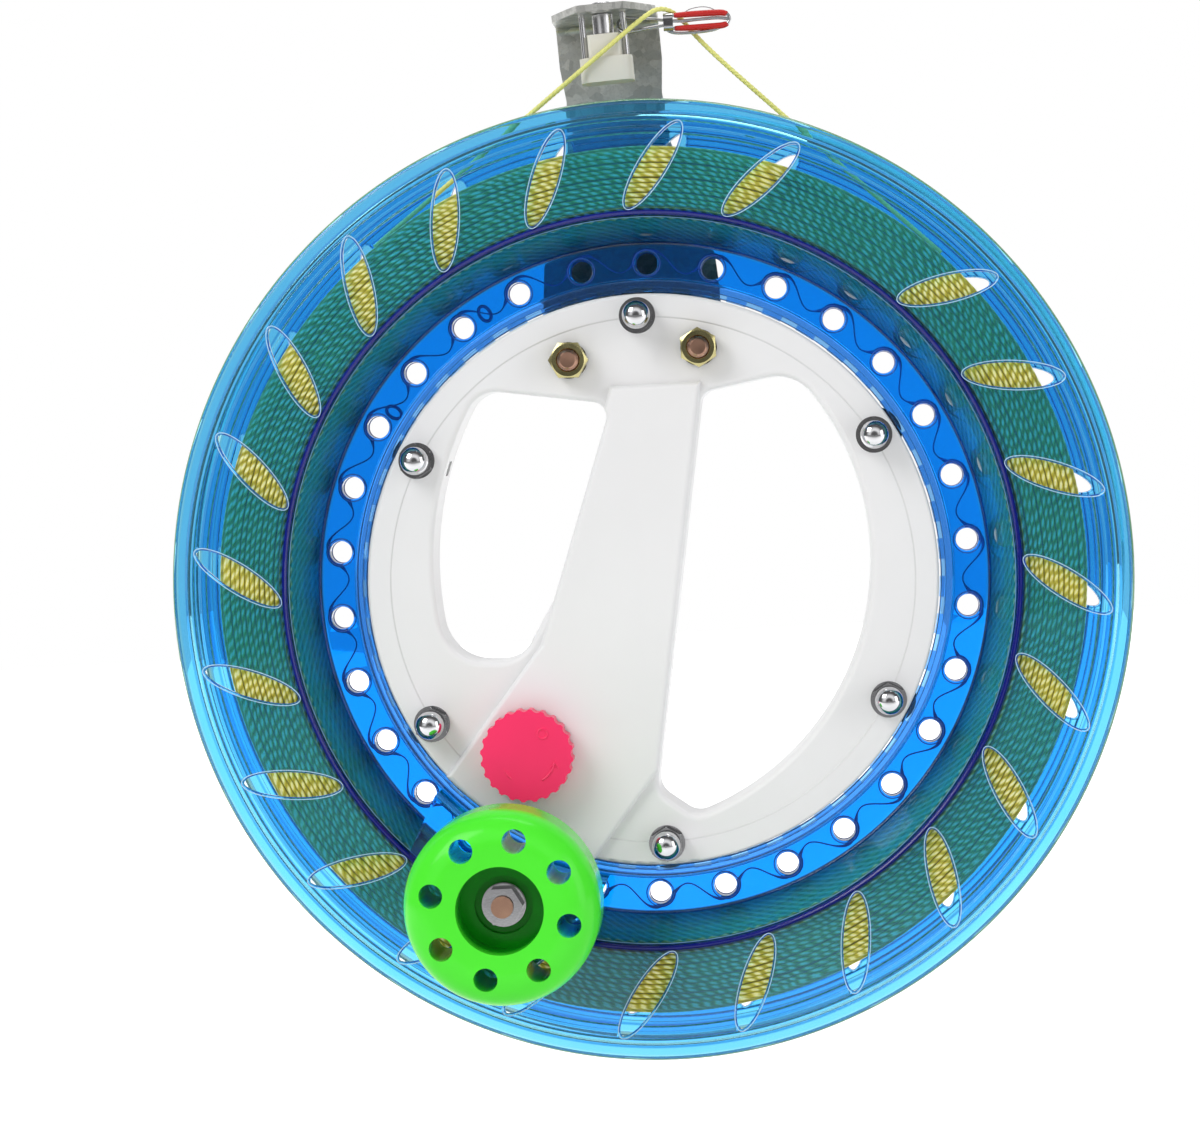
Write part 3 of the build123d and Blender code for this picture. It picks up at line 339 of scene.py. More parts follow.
dress(knob_plastic("green_knob_plastic", (0.082, 0.83, 0.033), (0.0, 0.32, 0.004), (CRANK_X * MM, CRANK_Z * MM),
                   RECESS_R * MM, knob_front, knob_front + RECESS_DEPTH * MM), "crank_knob")
dress(pink, "lock_knob")
dress(white_plastic("white_acetal", (0.75, 0.75, 0.75)), "lock_spindle", "lock_pawl")
sleeve_red = gloss_plastic("red_sleeve_plastic", (0.51, 0.0097, 0.007), 0.3)
dress(sleeve_red, "snap_sleeves")

# each line takes its own yellow, a dark tone that also serves as painted shade, and a painted highlight
line_wound = laid_line("wound_line", (0.68, 0.60, 0.055), (0.34, 0.27, 0.010), (1.0, 0.96, 0.50))
line_deep = packed_line("packed_line", (0.70, 0.62, 0.12), (0.40, 0.34, 0.03), (0.95, 0.92, 0.45))
line_pale = twisted_line("pale_line", (0.83, 0.83, 0.26), (0.66, 0.64, 0.16))
dress(line_wound, "line_core", "line_outer_layer")


# ---------------------------------------------------------------- shapes in common
def new_object(name, mesh, body=None):
    made = bpy.data.objects.new(name, mesh)
    scene.collection.objects.link(made)
    if body:
        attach(made, body)
    return made


def mesh_from(name, verts, faces, material, sharp=32.0):
    """A mesh in millimetres; edges sharper than the given angle stay hard."""
    mesh = bpy.data.meshes.new(name)
    mesh.from_pydata((np.array(verts, float) * MM).tolist(), [], [tuple(f) for f in faces])
    mesh.update()
    if material:
        mesh.materials.append(material)
    soften(mesh, sharp)
    return mesh


def soften(mesh, angle=32.0):
    b = bmesh.new()
    b.from_mesh(mesh)
    bmesh.ops.recalc_face_normals(b, faces=b.faces)
    for face in b.faces:
        face.smooth = True
    for edge in b.edges:
        edge.smooth = len(edge.link_faces) == 2 and edge.calc_face_angle(0) < radians(angle)
    b.to_mesh(mesh)
    b.free()


def rounded(points, steps=4):
    """A closed outline whose corners (x, y, radius) are rounded."""
    out = []
    for i, (x, y, r) in enumerate(points):
        corner = np.array((x, y))
        before = np.array(points[i - 1][:2]) - corner
        after = np.array(points[(i + 1) % len(points)][:2]) - corner
        la, lb = np.linalg.norm(before), np.linalg.norm(after)
        if r <= 0:
            out.append((x, y))
            continue
        before, after = before / la, after / lb
        half = np.arccos(np.clip(before @ after, -1, 1)) / 2
        reach = min(r / np.tan(half), 0.49 * la, 0.49 * lb)
        r = reach * np.tan(half)
        centre = corner + (before + after) / np.linalg.norm(before + after) * r / np.sin(half)
        a = corner + before * reach - centre
        b = corner + after * reach - centre
        swing = pi - 2 * half
        for k in range(steps + 1):
            t = k / steps
            p = (np.sin((1 - t) * swing) * a + np.sin(t * swing) * b) / np.sin(swing)
            out.append(tuple(centre + p))
    return out


def lathe(outline, segments=288):
    """Verts and faces of an outline of (radius, y) turned round the wheel's axis."""
    n = len(outline)
    angle = np.arange(segments) / segments * 2 * pi
    r, y = np.array(outline).T
    verts = np.stack([np.cos(angle)[:, None] * r, np.broadcast_to(y, (segments, n)), np.sin(angle)[:, None] * r], 2)
    faces = [(s * n + k, s * n + (k + 1) % n, ((s + 1) % segments) * n + (k + 1) % n, ((s + 1) % segments) * n + k)
             for s in range(segments) for k in range(n)]
    return verts.reshape(-1, 3), faces


def plug(loops):
    """A closed solid through loops of equal count."""
    n = len(loops[0])
    verts = np.concatenate(loops)
    faces = [(s * n + k, s * n + (k + 1) % n, (s + 1) * n + (k + 1) % n, (s + 1) * n + k)
             for s in range(len(loops) - 1) for k in range(n)]
    faces += [tuple(range(n))[::-1], tuple(range((len(loops) - 1) * n, len(loops) * n))]
    return verts, faces


def circle_at(x, z, radius, y, count=48, turn=0.0):
    """The corners of a regular figure round (x, z), at a height y."""
    t = np.arange(count) / count * 2 * pi + turn
    return np.stack([x + radius * np.cos(t), np.full(count, y), z + radius * np.sin(t)], 1)


def slot_loop(angle, grow, y, t):
    """Points by t of a slot's outline, grown a little, at a height y."""
    lean = angle + SLOT_LEAN
    x, z = (SLOT_LONG + grow) * np.cos(t), (SLOT_WIDE + grow) * np.sin(t)
    return np.stack([SLOT_R * cos(angle) + x * cos(lean) - z * sin(lean), np.full(len(t), y),
                     SLOT_R * sin(angle) + x * sin(lean) + z * cos(lean)], 1)


def gather(shapes):
    verts, faces, at = [], [], 0
    for v, f in shapes:
        verts.append(np.array(v))
        faces += [tuple(i + at for i in face) for face in f]
        at += len(v)
    return np.concatenate(verts), faces


def combine(mesh, tools, kind="DIFFERENCE"):
    """The mesh with the tools cut from it or joined to it."""
    a = bpy.data.objects.new("base", mesh)
    b = bpy.data.objects.new("tools", tools)
    scene.collection.objects.link(a)
    scene.collection.objects.link(b)
    change = a.modifiers.new("cut", "BOOLEAN")
    change.operation = kind
    change.solver = "EXACT"
    change.object = b
    made = bpy.data.meshes.new_from_object(a.evaluated_get(bpy.context.evaluated_depsgraph_get()))
    for o in (a, b):
        bpy.data.objects.remove(o)
    return made


# ---------------------------------------------------------------- the wheel's two clear mouldings
def wheel_outline(side):
    pts = [
        (67.8, BOND, 0), (67.8, 2.8, 0.15), (66.5, 2.8, 0.25), (66.5, 4.5, 0.35), (LIP_R, 4.5, 0.45),
        (LIP_R, WEB, 0.5), (NECK_R + SLOPE * WEB, WEB, 0.8), (MOUTH_R, HALF, 1.1),
        (101.9, HALF, 0.3), (102.3, HALF - 0.45, 0.3), (103.4, HALF - 0.45, 0.3), (103.8, HALF, 0.25),
        (104.9, HALF, 0.25), (105.3, HALF - 0.5, 0.3), (106.6, HALF - 0.5, 0.3), (107.0, HALF - 0.1, 0.3),
        (RIM_R, HALF - 0.1, 1.35), (RIM_R, 15.6, 0.5), (107.0, 15.6, 0.5), (106.0, 16.6, 0.5),
        (85.5, 16.6, 0.9), (79.74 + SLOPE * 2, 2.0, 0), (79.76, BOND, 0),
    ]
    return rounded([(r, side * y, c) for r, y, c in pts])


def slot_cutters(side):
    sections = ((0.9, HALF + 0.6), (0.42, HALF + 0.02), (0.25, HALF - 0.08), (0.1, HALF - 0.22), (0, HALF - 0.45),
                (0, 16.9), (0.12, 16.72), (0.3, 16.58), (0.3, 16.1))
    t = np.arange(56) / 56 * 2 * pi
    return [plug([slot_loop(angle, grow, side * y, t) for grow, y in sections]) for angle in SLOTS]


def hole_cutters(side):
    sections = ((HOLE_R, -1.0), (HOLE_R, WEB - 0.3), (2.75, WEB - 0.08), (3.2, WEB + 0.05), (3.5, WEB + 0.6))
    middles = [(HOLE_CIRCLE_R * cos(angle), HOLE_CIRCLE_R * sin(angle)) for angle in HOLES]
    return [plug([circle_at(x, z, r, side * y, 28) for r, y in sections]) for x, z in middles]


def notch_cutters():
    shapes = []
    for place in range(48):
        angle = radians(LOCK_DEGREES + place * 7.5)
        out, across = np.array((cos(angle), sin(angle))), np.array((-sin(angle), cos(angle)))
        loops = []
        for y in (2.75, 5.2):
            corners = [out * r + across * w for r, w in ((64.6, -2.0), (68.4, -2.0), (68.4, 2.0), (64.6, 2.0))]
            loops.append(np.array([(c[0], y, c[1]) for c in corners]))
        shapes.append(plug(loops))
    return shapes


def crank_block():
    """The parallel-sided block in the tunnel, as a solid in the wheel's front half."""
    t = np.array((cos(CRANK[1]), sin(CRANK[1])))
    s = np.array((cos(CRANK[1] - pi / 2), sin(CRANK[1] - pi / 2)))
    across = np.linspace(-19.0, 25.0, 45)
    loops = []
    for w in across:
        ring = []
        for r, y in ((69.8, -1.2), (69.8, -HALF + 0.5), (70.3, -HALF), (MOUTH_R + 1.2, -HALF), (NECK_R + 1.9, -1.2)):
            along = sqrt(max(r * r - w * w, 0))
            p = t * along + s * w
            ring.append((p[0], y, p[1]))
        loops.append(np.array(ring))
    verts, faces = plug(loops)
    return mesh_from("block", verts, faces, None)


def wheel_half(side):
    mesh = mesh_from("half", *lathe(wheel_outline(side)), None)
    if side < 0:
        mesh = combine(mesh, crank_block(), "UNION")
        bore = plug([circle_at(CRANK_X, CRANK_Z, 2.7, y, 40) for y in (-11.9, -20)])
        head = plug([circle_at(CRANK_X, CRANK_Z, 4.75, y, 6, CRANK[1]) for y in (-11.85, -15.45)])
        for shape in (bore, head):
            mesh = combine(mesh, mesh_from("bore", *shape, None))
    cutters = slot_cutters(side) + hole_cutters(side) + (notch_cutters() if side > 0 else [])
    mesh = combine(mesh, mesh_from("tools", *gather(cutters), None))
    soften(mesh, 35)
    mesh.materials.clear()
    mesh.materials.append(blue)
    return mesh


for side, name in ((-1, "front"), (1, "rear")):
    half = new_object(f"wheel_{name}_moulding", wheel_half(side), "spool")
    flat = half.modifiers.new("flat faces", "WEIGHTED_NORMAL")
    flat.keep_sharp = True
    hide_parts(f"spool_{name}_half")


# ---------------------------------------------------------------- the wound line
def winding(name, path, material, radius=0.6, around=8, crest=0):
    """A tube along a path in millimetres, with its length and girth as UVs for the lay of its strands.

    The girth starts from the radial side, or a crest of 0.25 further round where the side faces out."""
    path = np.array(path)
    radius = np.broadcast_to(radius, len(path))[:, None, None]
    tangent = np.gradient(path, axis=0)
    tangent /= np.linalg.norm(tangent, axis=1)[:, None]
    side = np.cross(tangent, (0.0, 1.0, 0.0))
    side /= np.linalg.norm(side, axis=1)[:, None]
    up = np.cross(side, tangent)
    t = np.arange(around) / around * 2 * pi
    ring = np.cos(t)[None, :, None] * side[:, None, :] + np.sin(t)[None, :, None] * up[:, None, :]
    verts = path[:, None, :] + radius * ring
    rows = np.arange(len(path) - 1)[:, None] * around
    cols = np.arange(around)[None, :]
    nxt = (cols + 1) % around
    faces = np.stack([rows + cols, rows + nxt, rows + around + nxt, rows + around + cols], 2).reshape(-1, 4)
    mesh = bpy.data.meshes.new(name)
    mesh.vertices.add(len(path) * around)
    mesh.vertices.foreach_set("co", (verts.reshape(-1, 3) * MM).ravel())
    mesh.loops.add(faces.size)
    mesh.loops.foreach_set("vertex_index", faces.ravel())
    mesh.polygons.add(len(faces))
    mesh.polygons.foreach_set("loop_start", np.arange(len(faces)) * 4)
    mesh.polygons.foreach_set("use_smooth", np.ones(len(faces), bool))
    mesh.update(calc_edges=True)
    along = np.concatenate([[0], np.cumsum(np.linalg.norm(np.diff(path, axis=0), axis=1))])
    row = np.repeat(np.arange(len(path) - 1), around)
    col = np.tile(np.arange(around), len(path) - 1)
    u = np.stack([along[row], along[row], along[row + 1], along[row + 1]], 1)
    v = np.stack([col, col + 1, col + 1, col], 1) / around + crest
    layer = mesh.uv_layers.new(name="lay")
    layer.data.foreach_set("uv", np.stack([u, v], 2).astype(np.float32).ravel())
    if material:
        mesh.materials.append(material)
    return mesh


def sway(turn, seed, size):
    """A slow wander along the winding, the same in each run."""
    waves = ((1, 2.3, 1), (0.6, 5.1, 2), (0.4, 0.37, 3))
    return size * sum(part * np.sin(turn * rate + shift * seed) for part, rate, shift in waves) / 2


def side_turns(side):
    """The turns that show through the flange: a flat spiral at the pack's side."""
    t = np.arange(0, 13, 1 / TURN_STEPS)
    r = PACK_R - 1.13 * np.maximum(t - 1, 0) + sway(t * 2 * pi, 1.3 + side, 0.13)
    y = side * (PACK_HALF - 0.16 * np.abs(np.sin(t * 9.1)))
    a = t * 2 * pi * side
    return np.stack([r * np.cos(a), y, r * np.sin(a)], 1)


def top_turns(count, radius, half, seed, wander):
    """The turns of the pack's outer layer, from one flange to the other."""
    t = np.arange(0, count, 1 / TURN_STEPS)
    y = -half + 2 * half * t / count + sway(t * 2 * pi, seed, wander)
    r = radius + sway(t * 2 * pi, seed + 4, 0.09) - 0.05
    a = pi / 2 - t * 2 * pi
    return np.stack([r * np.cos(a), np.clip(y, -PACK_HALF, PACK_HALF), r * np.sin(a)], 1)


core_outline = [(79.9, 0), (84.9, -14.9), (97.7, -14.9), (97.7, 14.9), (84.9, 14.9)]
core_mesh = mesh_from("wound_line_core", *lathe(core_outline, 192), line_deep, 30)
wound_core = new_object("wound_line_core", core_mesh, "spool")
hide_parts("line_core")
for side, word in ((-1, "front"), (1, "rear")):
    new_object(f"side_turns_{word}", winding(f"side_turns_{word}", side_turns(side), line_wound, crest=0.25),
               "spool")
outer_path = top_turns(25, 98.85, 15.6, 0.4, 0.07)
outer = new_object("outer_turns", winding("outer_turns", outer_path, line_wound), "spool")
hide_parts("line_outer_layer")


# ---------------------------------------------------------------- the bracket's bolts, and small marks
bond_blue = gloss_plastic("bond_line_blue", (0.0, 0.07, 0.50), 0.3)


def hex_nut(x, z, turn, y_front, y_back, across=8.0, bore=2.5):
    """A hexagon nut with chamfered corners and a countersunk bore, facing -Y."""
    t = np.sort(np.concatenate([np.arange(90) / 90 * 2 * pi, (np.arange(6) / 6 * 2 * pi + turn) % (2 * pi)]))
    off = (t - turn + pi / 6) % (pi / 3) - pi / 6
    corner = across / 2 / np.cos(pi / 6 - np.abs(off))
    flat_r = across / 2 - 0.2
    chamfer = (corner - flat_r) * 0.5
    level = np.ones(len(t))
    rings = [(bore * level, y_back * level), (bore * level, (y_front + 0.3) * level),
             ((bore + 0.2) * level, (y_front + 0.04) * level), ((bore + 0.26) * level, y_front * level),
             ((flat_r - 0.08) * level, y_front * level), (flat_r * level, (y_front + 0.05) * level),
             (corner, y_front + 0.05 + chamfer), (corner, y_back * level)]
    n, count = len(t), len(rings)
    verts = np.concatenate([np.stack([x + r * np.cos(t), y, z + r * np.sin(t)], 1) for r, y in rings])
    faces = [(s * n + k, s * n + (k + 1) % n, (s + 1) % count * n + (k + 1) % n, (s + 1) % count * n + k)
             for s in range(count) for k in range(n)]
    return verts, faces


def ring_disc(x, z, inner, outer, y_low, y_high):
    """A washer round (x, z), with its outer edges broken."""
    outline = [(inner, y_low), (outer - 0.12, y_low), (outer, y_low + 0.12), (outer, y_high - 0.12),
               (outer - 0.12, y_high), (inner, y_high)]
    verts, faces = lathe(outline, 64)
    verts = verts.copy()
    verts[:, 0] += x
    verts[:, 2] += z
    return verts, faces


def bolt_middles(name):
    """The middles (x, z) in millimetres of a CAD node's two fasteners."""
    co = np.array([v.co for v in nodes[name].data.vertices]) / MM
    mid = (co[:, 0].min() + co[:, 0].max()) / 2
    return [((p[:, 0].min() + p[:, 0].max()) / 2, (p[:, 2].min() + p[:, 2].max()) / 2)
            for p in (co[co[:, 0] < mid], co[co[:, 0] >= mid])]


middles = bolt_middles("bracket_nuts")
nut_front, nut_back = (corner[1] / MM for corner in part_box("bracket_nuts"))
washer_low, washer_high = (corner[1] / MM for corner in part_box("bracket_washers"))
bolt_low, bolt_high = (corner[1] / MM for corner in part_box("bracket_bolts"))
washer_t = nut_back - washer_low
nuts = [hex_nut(x, z, turn, nut_front, nut_back) for (x, z), turn in zip(middles, (radians(-2), radians(30)))]
nut_piece = new_object("chamfered_nuts", mesh_from("chamfered_nuts", *gather(nuts), zinc, 25), "hub")
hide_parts("bracket_nuts")
shank = ((1.75, bolt_low), (1.95, bolt_low + 0.15), (2.45, bolt_low + 0.75), (2.45, bolt_high - 1.0))
head = ((4.6, bolt_high - 3.5), (4.6, bolt_high - 0.25), (4.3, bolt_high))
shanks = gather([plug([circle_at(x, z, r, y) for r, y in shank]) for x, z in middles])
heads = gather([plug([circle_at(x, z, r, y, 6) for r, y in head]) for x, z in middles])
bolt_piece = new_object("chamfered_bolts", mesh_from("chamfered_bolts", *shanks, copper, 25), "hub")
new_object("bolt_heads", mesh_from("bolt_heads", *heads, zinc, 25), "hub")
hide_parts("bracket_bolts")
discs = [ring_disc(x, z, 2.7, outer, low, high) for x, z in middles
         for outer, low, high in ((4.2, washer_low, nut_back), (5.0, washer_high - washer_t, washer_high))]
disc_piece = new_object("nut_washers", mesh_from("nut_washers", *gather(discs), zinc, 25), "hub")
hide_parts("bracket_washers")


def bond_path():
    """The bond's edge: it sways from hole to hole and bulges round each."""
    a = np.arange(0, 2 * pi, radians(0.25))
    phase = (a - HOLE_START) * len(HOLES)
    r = HOLE_CIRCLE_R + 0.8 + 2.5 * np.cos(phase + 0.55) + 0.35 * np.sin(a * 7 + 1)
    hole = HOLE_START + np.round((a - HOLE_START) / HOLE_STEP) * HOLE_STEP
    centre = HOLE_CIRCLE_R * np.stack([np.cos(hole), np.sin(hole)], 1)
    point = r[:, None] * np.stack([np.cos(a), np.sin(a)], 1)
    away = point - centre
    gap = np.linalg.norm(away, axis=1)
    reach = np.maximum(gap, HOLE_R + 0.55)
    point = centre + away * (reach / gap)[:, None]
    width = 0.17 + 0.36 * np.clip(1.6 - (gap - HOLE_R) / 1.6, 0, 1) * (0.5 + 0.5 * np.sin(phase + 1.2))
    return np.stack([point[:, 0], np.zeros(len(a)), point[:, 1]], 1), width


def joined(name, meshes, material, body):
    """One piece of several meshes."""
    b = bmesh.new()
    for mesh in meshes:
        b.from_mesh(mesh)
        bpy.data.meshes.remove(mesh)
    whole = bpy.data.meshes.new(name)
    b.to_mesh(whole)
    b.free()
    whole.materials.append(material)
    return new_object(name, whole, body)


# painted highlight for the slots' rims, and painted shade for the dark edges of the slots and the web's holes
edge_highlight = gloss_plastic("edge_highlight_plastic", (0.50, 0.70, 0.90), 0.12)
edge_shade = gloss_plastic("edge_shade_plastic", (0.01, 0.10, 0.50), 0.2)
glint_edge = gloss_plastic("glint_edge_plastic", (0.30, 0.52, 0.80), 0.12)
# painted shade: the dark ring in the corner at the cone's mouth
mouth_shade_blue = gloss_plastic("mouth_shade_line_plastic", (0.0, 0.03, 0.34), 0.4)


def circle(radius, y, count=289, centre=(0.0, 0.0)):
    """A closed round path."""
    t = np.linspace(0, 2 * pi, count)
    return np.stack([centre[0] + radius * np.cos(t), np.full(count, y), centre[1] + radius * np.sin(t)], 1)


t = np.linspace(0, 2 * pi, 61)
for side, word in ((-1, "front"), (1, "rear")):
    # the slots' rims carry a painted highlight, their inner edges painted shade
    lips = [winding("lip", slot_loop(angle, 0.46, side * (HALF - 0.06), t), None, 0.11, 6) for angle in SLOTS]
    edges = [winding("edge", slot_loop(angle, 0.1, side * (HALF - 0.45), t), None, 0.13, 6) for angle in SLOTS]
    joined(f"slot_lips_{word}", lips, edge_highlight, "spool")
    joined(f"slot_edges_{word}", edges, edge_shade, "spool")
    # a dark ring of painted shade in the corner at the mouth, and a thin painted glint along its edge
    mouth_shade_line = winding("mouth_shade_line", circle(84.25, side * 17.9), mouth_shade_blue, 0.45, 8)
    mouth_edge = winding("mouth_edge", circle(83.1, side * (HALF - 0.9)), glint_edge, 0.05, 6)
    new_object(f"mouth_shade_line_{word}", mouth_shade_line, "spool")
    new_object(f"mouth_edge_{word}", mouth_edge, "spool")
# dark rings of painted shade round the web's holes
rings = [winding("ring", circle(r, y, 37, HOLE_CIRCLE_R * np.array((cos(angle), sin(angle)))), None, 0.15, 6)
         for angle in HOLES for r, y in ((HOLE_R + 0.55, -WEB - 0.02), (HOLE_R + 0.06, WEB))]
joined("web_hole_edges", rings, edge_shade, "spool")

path, width = bond_path()
new_object("web_bond_line", winding("web_bond_line", np.vstack([path, path[:1]]), bond_blue,
                                    np.append(width, width[0]), 6), "spool")
for count, (r, angle) in enumerate(((73.1, 119.3), (71.9, 144.2)), 1):
    out = np.array((cos(radians(angle)), 0, sin(radians(angle))))
    across = np.array((-out[2], 0, out[0]))
    t = np.linspace(0, 2 * pi, 41)[:, None]
    ring = r * out + 1.9 * np.cos(t) * out + 1.25 * np.sin(t) * across
    new_object(f"web_mark_{count}", winding(f"web_mark_{count}", ring, bond_blue, 0.4, 6), "spool")

# raised marks on the lock: a bar and a ring for its two positions, and an arrow that goes round
lock_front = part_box("lock_knob")[0][1] / MM


def lock_mark(name, points):
    """A raised line on the lock knob's face, by points round its middle."""
    points = np.array(points, float)
    path = np.stack([LOCK[0] + points[:, 0], np.full(len(points), lock_front + 0.02), LOCK[1] + points[:, 1]], 1)
    width = np.full(len(path), 0.26)
    if np.linalg.norm(points[0] - points[-1]) > 0.1:
        width[[0, -1]] = 0.05
    new_object(name, winding(name, path, pink, width), "lock_knob")


def arc(radius, start, end, centre=(0, 0), steps=24):
    t = np.radians(np.linspace(start, end, steps))
    return np.stack([centre[0] + radius * np.cos(t), centre[1] + radius * np.sin(t)], 1)


lock_mark("lock_arrow_arc", arc(6.6, -62, -14))
lock_mark("lock_arrow_head", [(5.2, -3.2), (5.9, -2.4), (6.4, -1.6), (6.75, -2.6), (7.3, -3.6)])
lock_mark("lock_ring_mark", arc(1.15, 0, 360, (3.9, 4.9)))
lock_mark("lock_bar_mark", [(-5.6, -2.6), (-4.9, -3.6), (-4.2, -4.6), (-3.6, -5.4)])


# ---------------------------------------------------------------- the snap clip
CLIP_Z = (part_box("snap_loop")[0][2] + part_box("snap_loop")[1][2]) / 2 / MM
LEG = 1.5


def clip_path(points, count=60):
    """A smooth path through points (x, y, z over the clip's middle)."""
    points = np.array(points, float)
    at = np.linspace(0, len(points) - 1, count)
    low = np.clip(at.astype(int), 0, len(points) - 2)
    f = (at - low)[:, None]
    p0, p1, p2, p3 = (points[np.clip(low + k, 0, len(points) - 1)] for k in (-1, 0, 1, 2))
    path = p1 + 0.5 * f * (p2 - p0 + f * (2 * p0 - 5 * p1 + 4 * p2 - p3 + f * (3 * (p1 - p2) + p3 - p0)))
    return path + (0, 0, CLIP_Z)


sleeves = []
for up in (1, -1):
    path = clip_path([(12.1, 0, up * LEG), (15, 0, up * (LEG + 0.05)), (19, 0, up * (LEG + 0.05)), (22.6, 0, up * LEG),
                      (23.9, 0, up * 1.28), (24.35, 0, up * 1.0)])
    t = np.linspace(0, 1, len(path))
    girth = 0.50 + 0.26 * np.clip(np.sin(pi * np.clip(t * 1.02, 0, 1)), 0, 1) ** 0.45
    sleeves.append(winding("sleeve", path, None, girth, 14))
sleeve_piece = joined("clip_sleeves", sleeves, sleeve_red, "hub")
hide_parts("snap_sleeves")
gate = clip_path([(11.6, 0, 0.25), (14, 0, 0.12), (18, -0.1, 0.25), (22, -0.1, 0.3), (24.6, 0, 0)])
clip_gate = new_object("clip_gate", winding("clip_gate", gate, clip_steel, 0.40, 10), "hub")
body = clip_path([(9.9, 0, -1.5), (12.2, 0, -2.55), (17, 0, -2.7), (21.5, 0, -2.3), (24.4, 0, -0.9)])
keeper = clip_path([(14.2, 0, 1.9), (16.0, 0, 2.75), (18.4, 0, 3.1), (20.4, 0, 2.8), (21.9, 0, 2.0)])
clip_keeper = new_object("clip_keeper", winding("clip_keeper", keeper, clip_steel, 0.12, 6), "hub")
clip_body = new_object("clip_body", winding("clip_body", body, clip_steel, 0.36, 10), "hub")


# ---------------------------------------------------------------- the free line
ROUTE = [
    (-60.3, -3.0, 80.6), (-24.0, -5.0, 107.6), (-8.0, -6.3, 119.6), (5.0, -3.8, 129.8), (9.0, -1.0, 132.2),
    (13.0, 2.5, 130.6), (18.0, 2.4, 123.6), (34.0, 2.4, 107.7), (70.8, 2.0, 71.6),
]


def curve_points(points, resolution):
    """Points along the NURBS line of a route given in millimetres."""
    data = bpy.data.curves.new("route", "CURVE")
    data.dimensions = "3D"
    data.resolution_u = resolution
    spline = data.splines.new("NURBS")
    spline.points.add(len(points) - 1)
    for point, place in zip(spline.points, points):
        point.co = (*[c * MM for c in place], 1)
    spline.order_u = 3
    spline.use_endpoint_u = True
    holder = bpy.data.objects.new("route", data)
    scene.collection.objects.link(holder)
    mesh = bpy.data.meshes.new_from_object(holder)
    made = np.array([v.co for v in mesh.vertices])
    bpy.data.objects.remove(holder)
    bpy.data.meshes.remove(mesh)
    return made


def evenly(path, step):
    """The same path with its points a step apart."""
    along = np.concatenate([[0], np.cumsum(np.linalg.norm(np.diff(path, axis=0), axis=1))])
    at = np.linspace(0, along[-1], int(round(along[-1] / step)) + 1)
    return np.stack([np.interp(at, along, path[:, k]) for k in range(3)], 1)


def rope(name, path, diameter, pitch, material, strands=3, per_strand=4):
    """A twisted line along a path: its strands show as lobes that turn round it."""
    tangent = np.gradient(path, axis=0)
    tangent /= np.linalg.norm(tangent, axis=1)[:, None]
    side = np.cross(tangent, (0.0, 1.0, 0.03))
    side /= np.linalg.norm(side, axis=1)[:, None]
    up = np.cross(side, tangent)
    steps = np.linalg.norm(np.diff(path, axis=0), axis=1)
    turn = np.concatenate([[0], np.cumsum(steps)]) / pitch * 2 * pi
    ring = strands * per_strand
    angle = np.arange(ring) / ring * 2 * pi
    lobe = np.abs(np.cos(angle * strands / 2))
    radius = diameter / 2 * (0.80 + 0.20 * lobe)
    spin = angle[None, :] + turn[:, None]
    across = (np.cos(spin) * radius)[..., None] * side[:, None, :] + (np.sin(spin) * radius)[..., None] * up[:, None, :]
    verts = (path[:, None, :] + across).reshape(-1, 3)
    rows = np.arange(len(path) - 1)[:, None] * ring
    cols = np.arange(ring)[None, :]
    nxt = (cols + 1) % ring
    faces = np.stack([rows + cols, rows + nxt, rows + ring + nxt, rows + ring + cols], 2).reshape(-1, 4)
    last = len(verts) - ring
    faces = faces.tolist() + [list(range(ring))[::-1], list(range(last, last + ring))]
    mesh = bpy.data.meshes.new(name)
    mesh.from_pydata(verts.tolist(), [], faces)
    mesh.polygons.foreach_set("use_smooth", [True] * len(mesh.polygons))
    mesh.materials.append(material)
    mesh.update()
    made = bpy.data.objects.new(name, mesh)
    scene.collection.objects.link(made)
    return made


free_path = evenly(curve_points(ROUTE, 40), 0.35 * MM)
free = rope("free_line", free_path, LINE_D * MM, 3.6 * MM, line_pale)
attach(free, "hub")
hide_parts("line_free")


# ---------------------------------------------------------------- camera, floor and light
def look(name, place, target, up):
    back = (Vector(place) - Vector(target)).normalized()
    right = Vector(up).cross(back).normalized()
    turn = Matrix((right, back.cross(right), back)).transposed()
    data = bpy.data.cameras.new(name)
    made = bpy.data.objects.new(name, data)
    made.matrix_world = Matrix.Translation(place) @ turn.to_4x4()
    scene.collection.objects.link(made)
    return made


camera = look("camera", (0.0399, -0.919, 0.0318), (-0.01124, -0.019, 0.00517), (0.0576, 0, 0.998))
camera.data.lens = 118.5
camera.data.sensor_width = 36
scene.camera = camera

world = bpy.data.worlds.new("studio")
scene.world = world
world.use_nodes = True
tree = world.node_tree


def wire(kind, *values, **settings):
    """A node of the world, with its inputs set or linked in turn."""
    made = tree.nodes.new(kind)
    for key, value in settings.items():
        setattr(made, key, value)
    for socket, value in zip(made.inputs, values):
        if isinstance(value, bpy.types.NodeSocket):
            tree.links.new(value, socket)
        else:
            socket.default_value = value
    return made.outputs[0]


def ramp(value, low, high, to_low, to_high):
    return wire("ShaderNodeMapRange", value, low, high, to_low, to_high)


def work(kind, *values):
    return wire("ShaderNodeMath", *values, operation=kind)


rays = tree.nodes.new("ShaderNodeLightPath").outputs
seen = work("MAXIMUM", rays["Is Camera Ray"], rays["Is Transmission Ray"])
level = ramp(work("MAXIMUM", seen, rays["Is Glossy Ray"]), 0, 1, 0.62, 1)
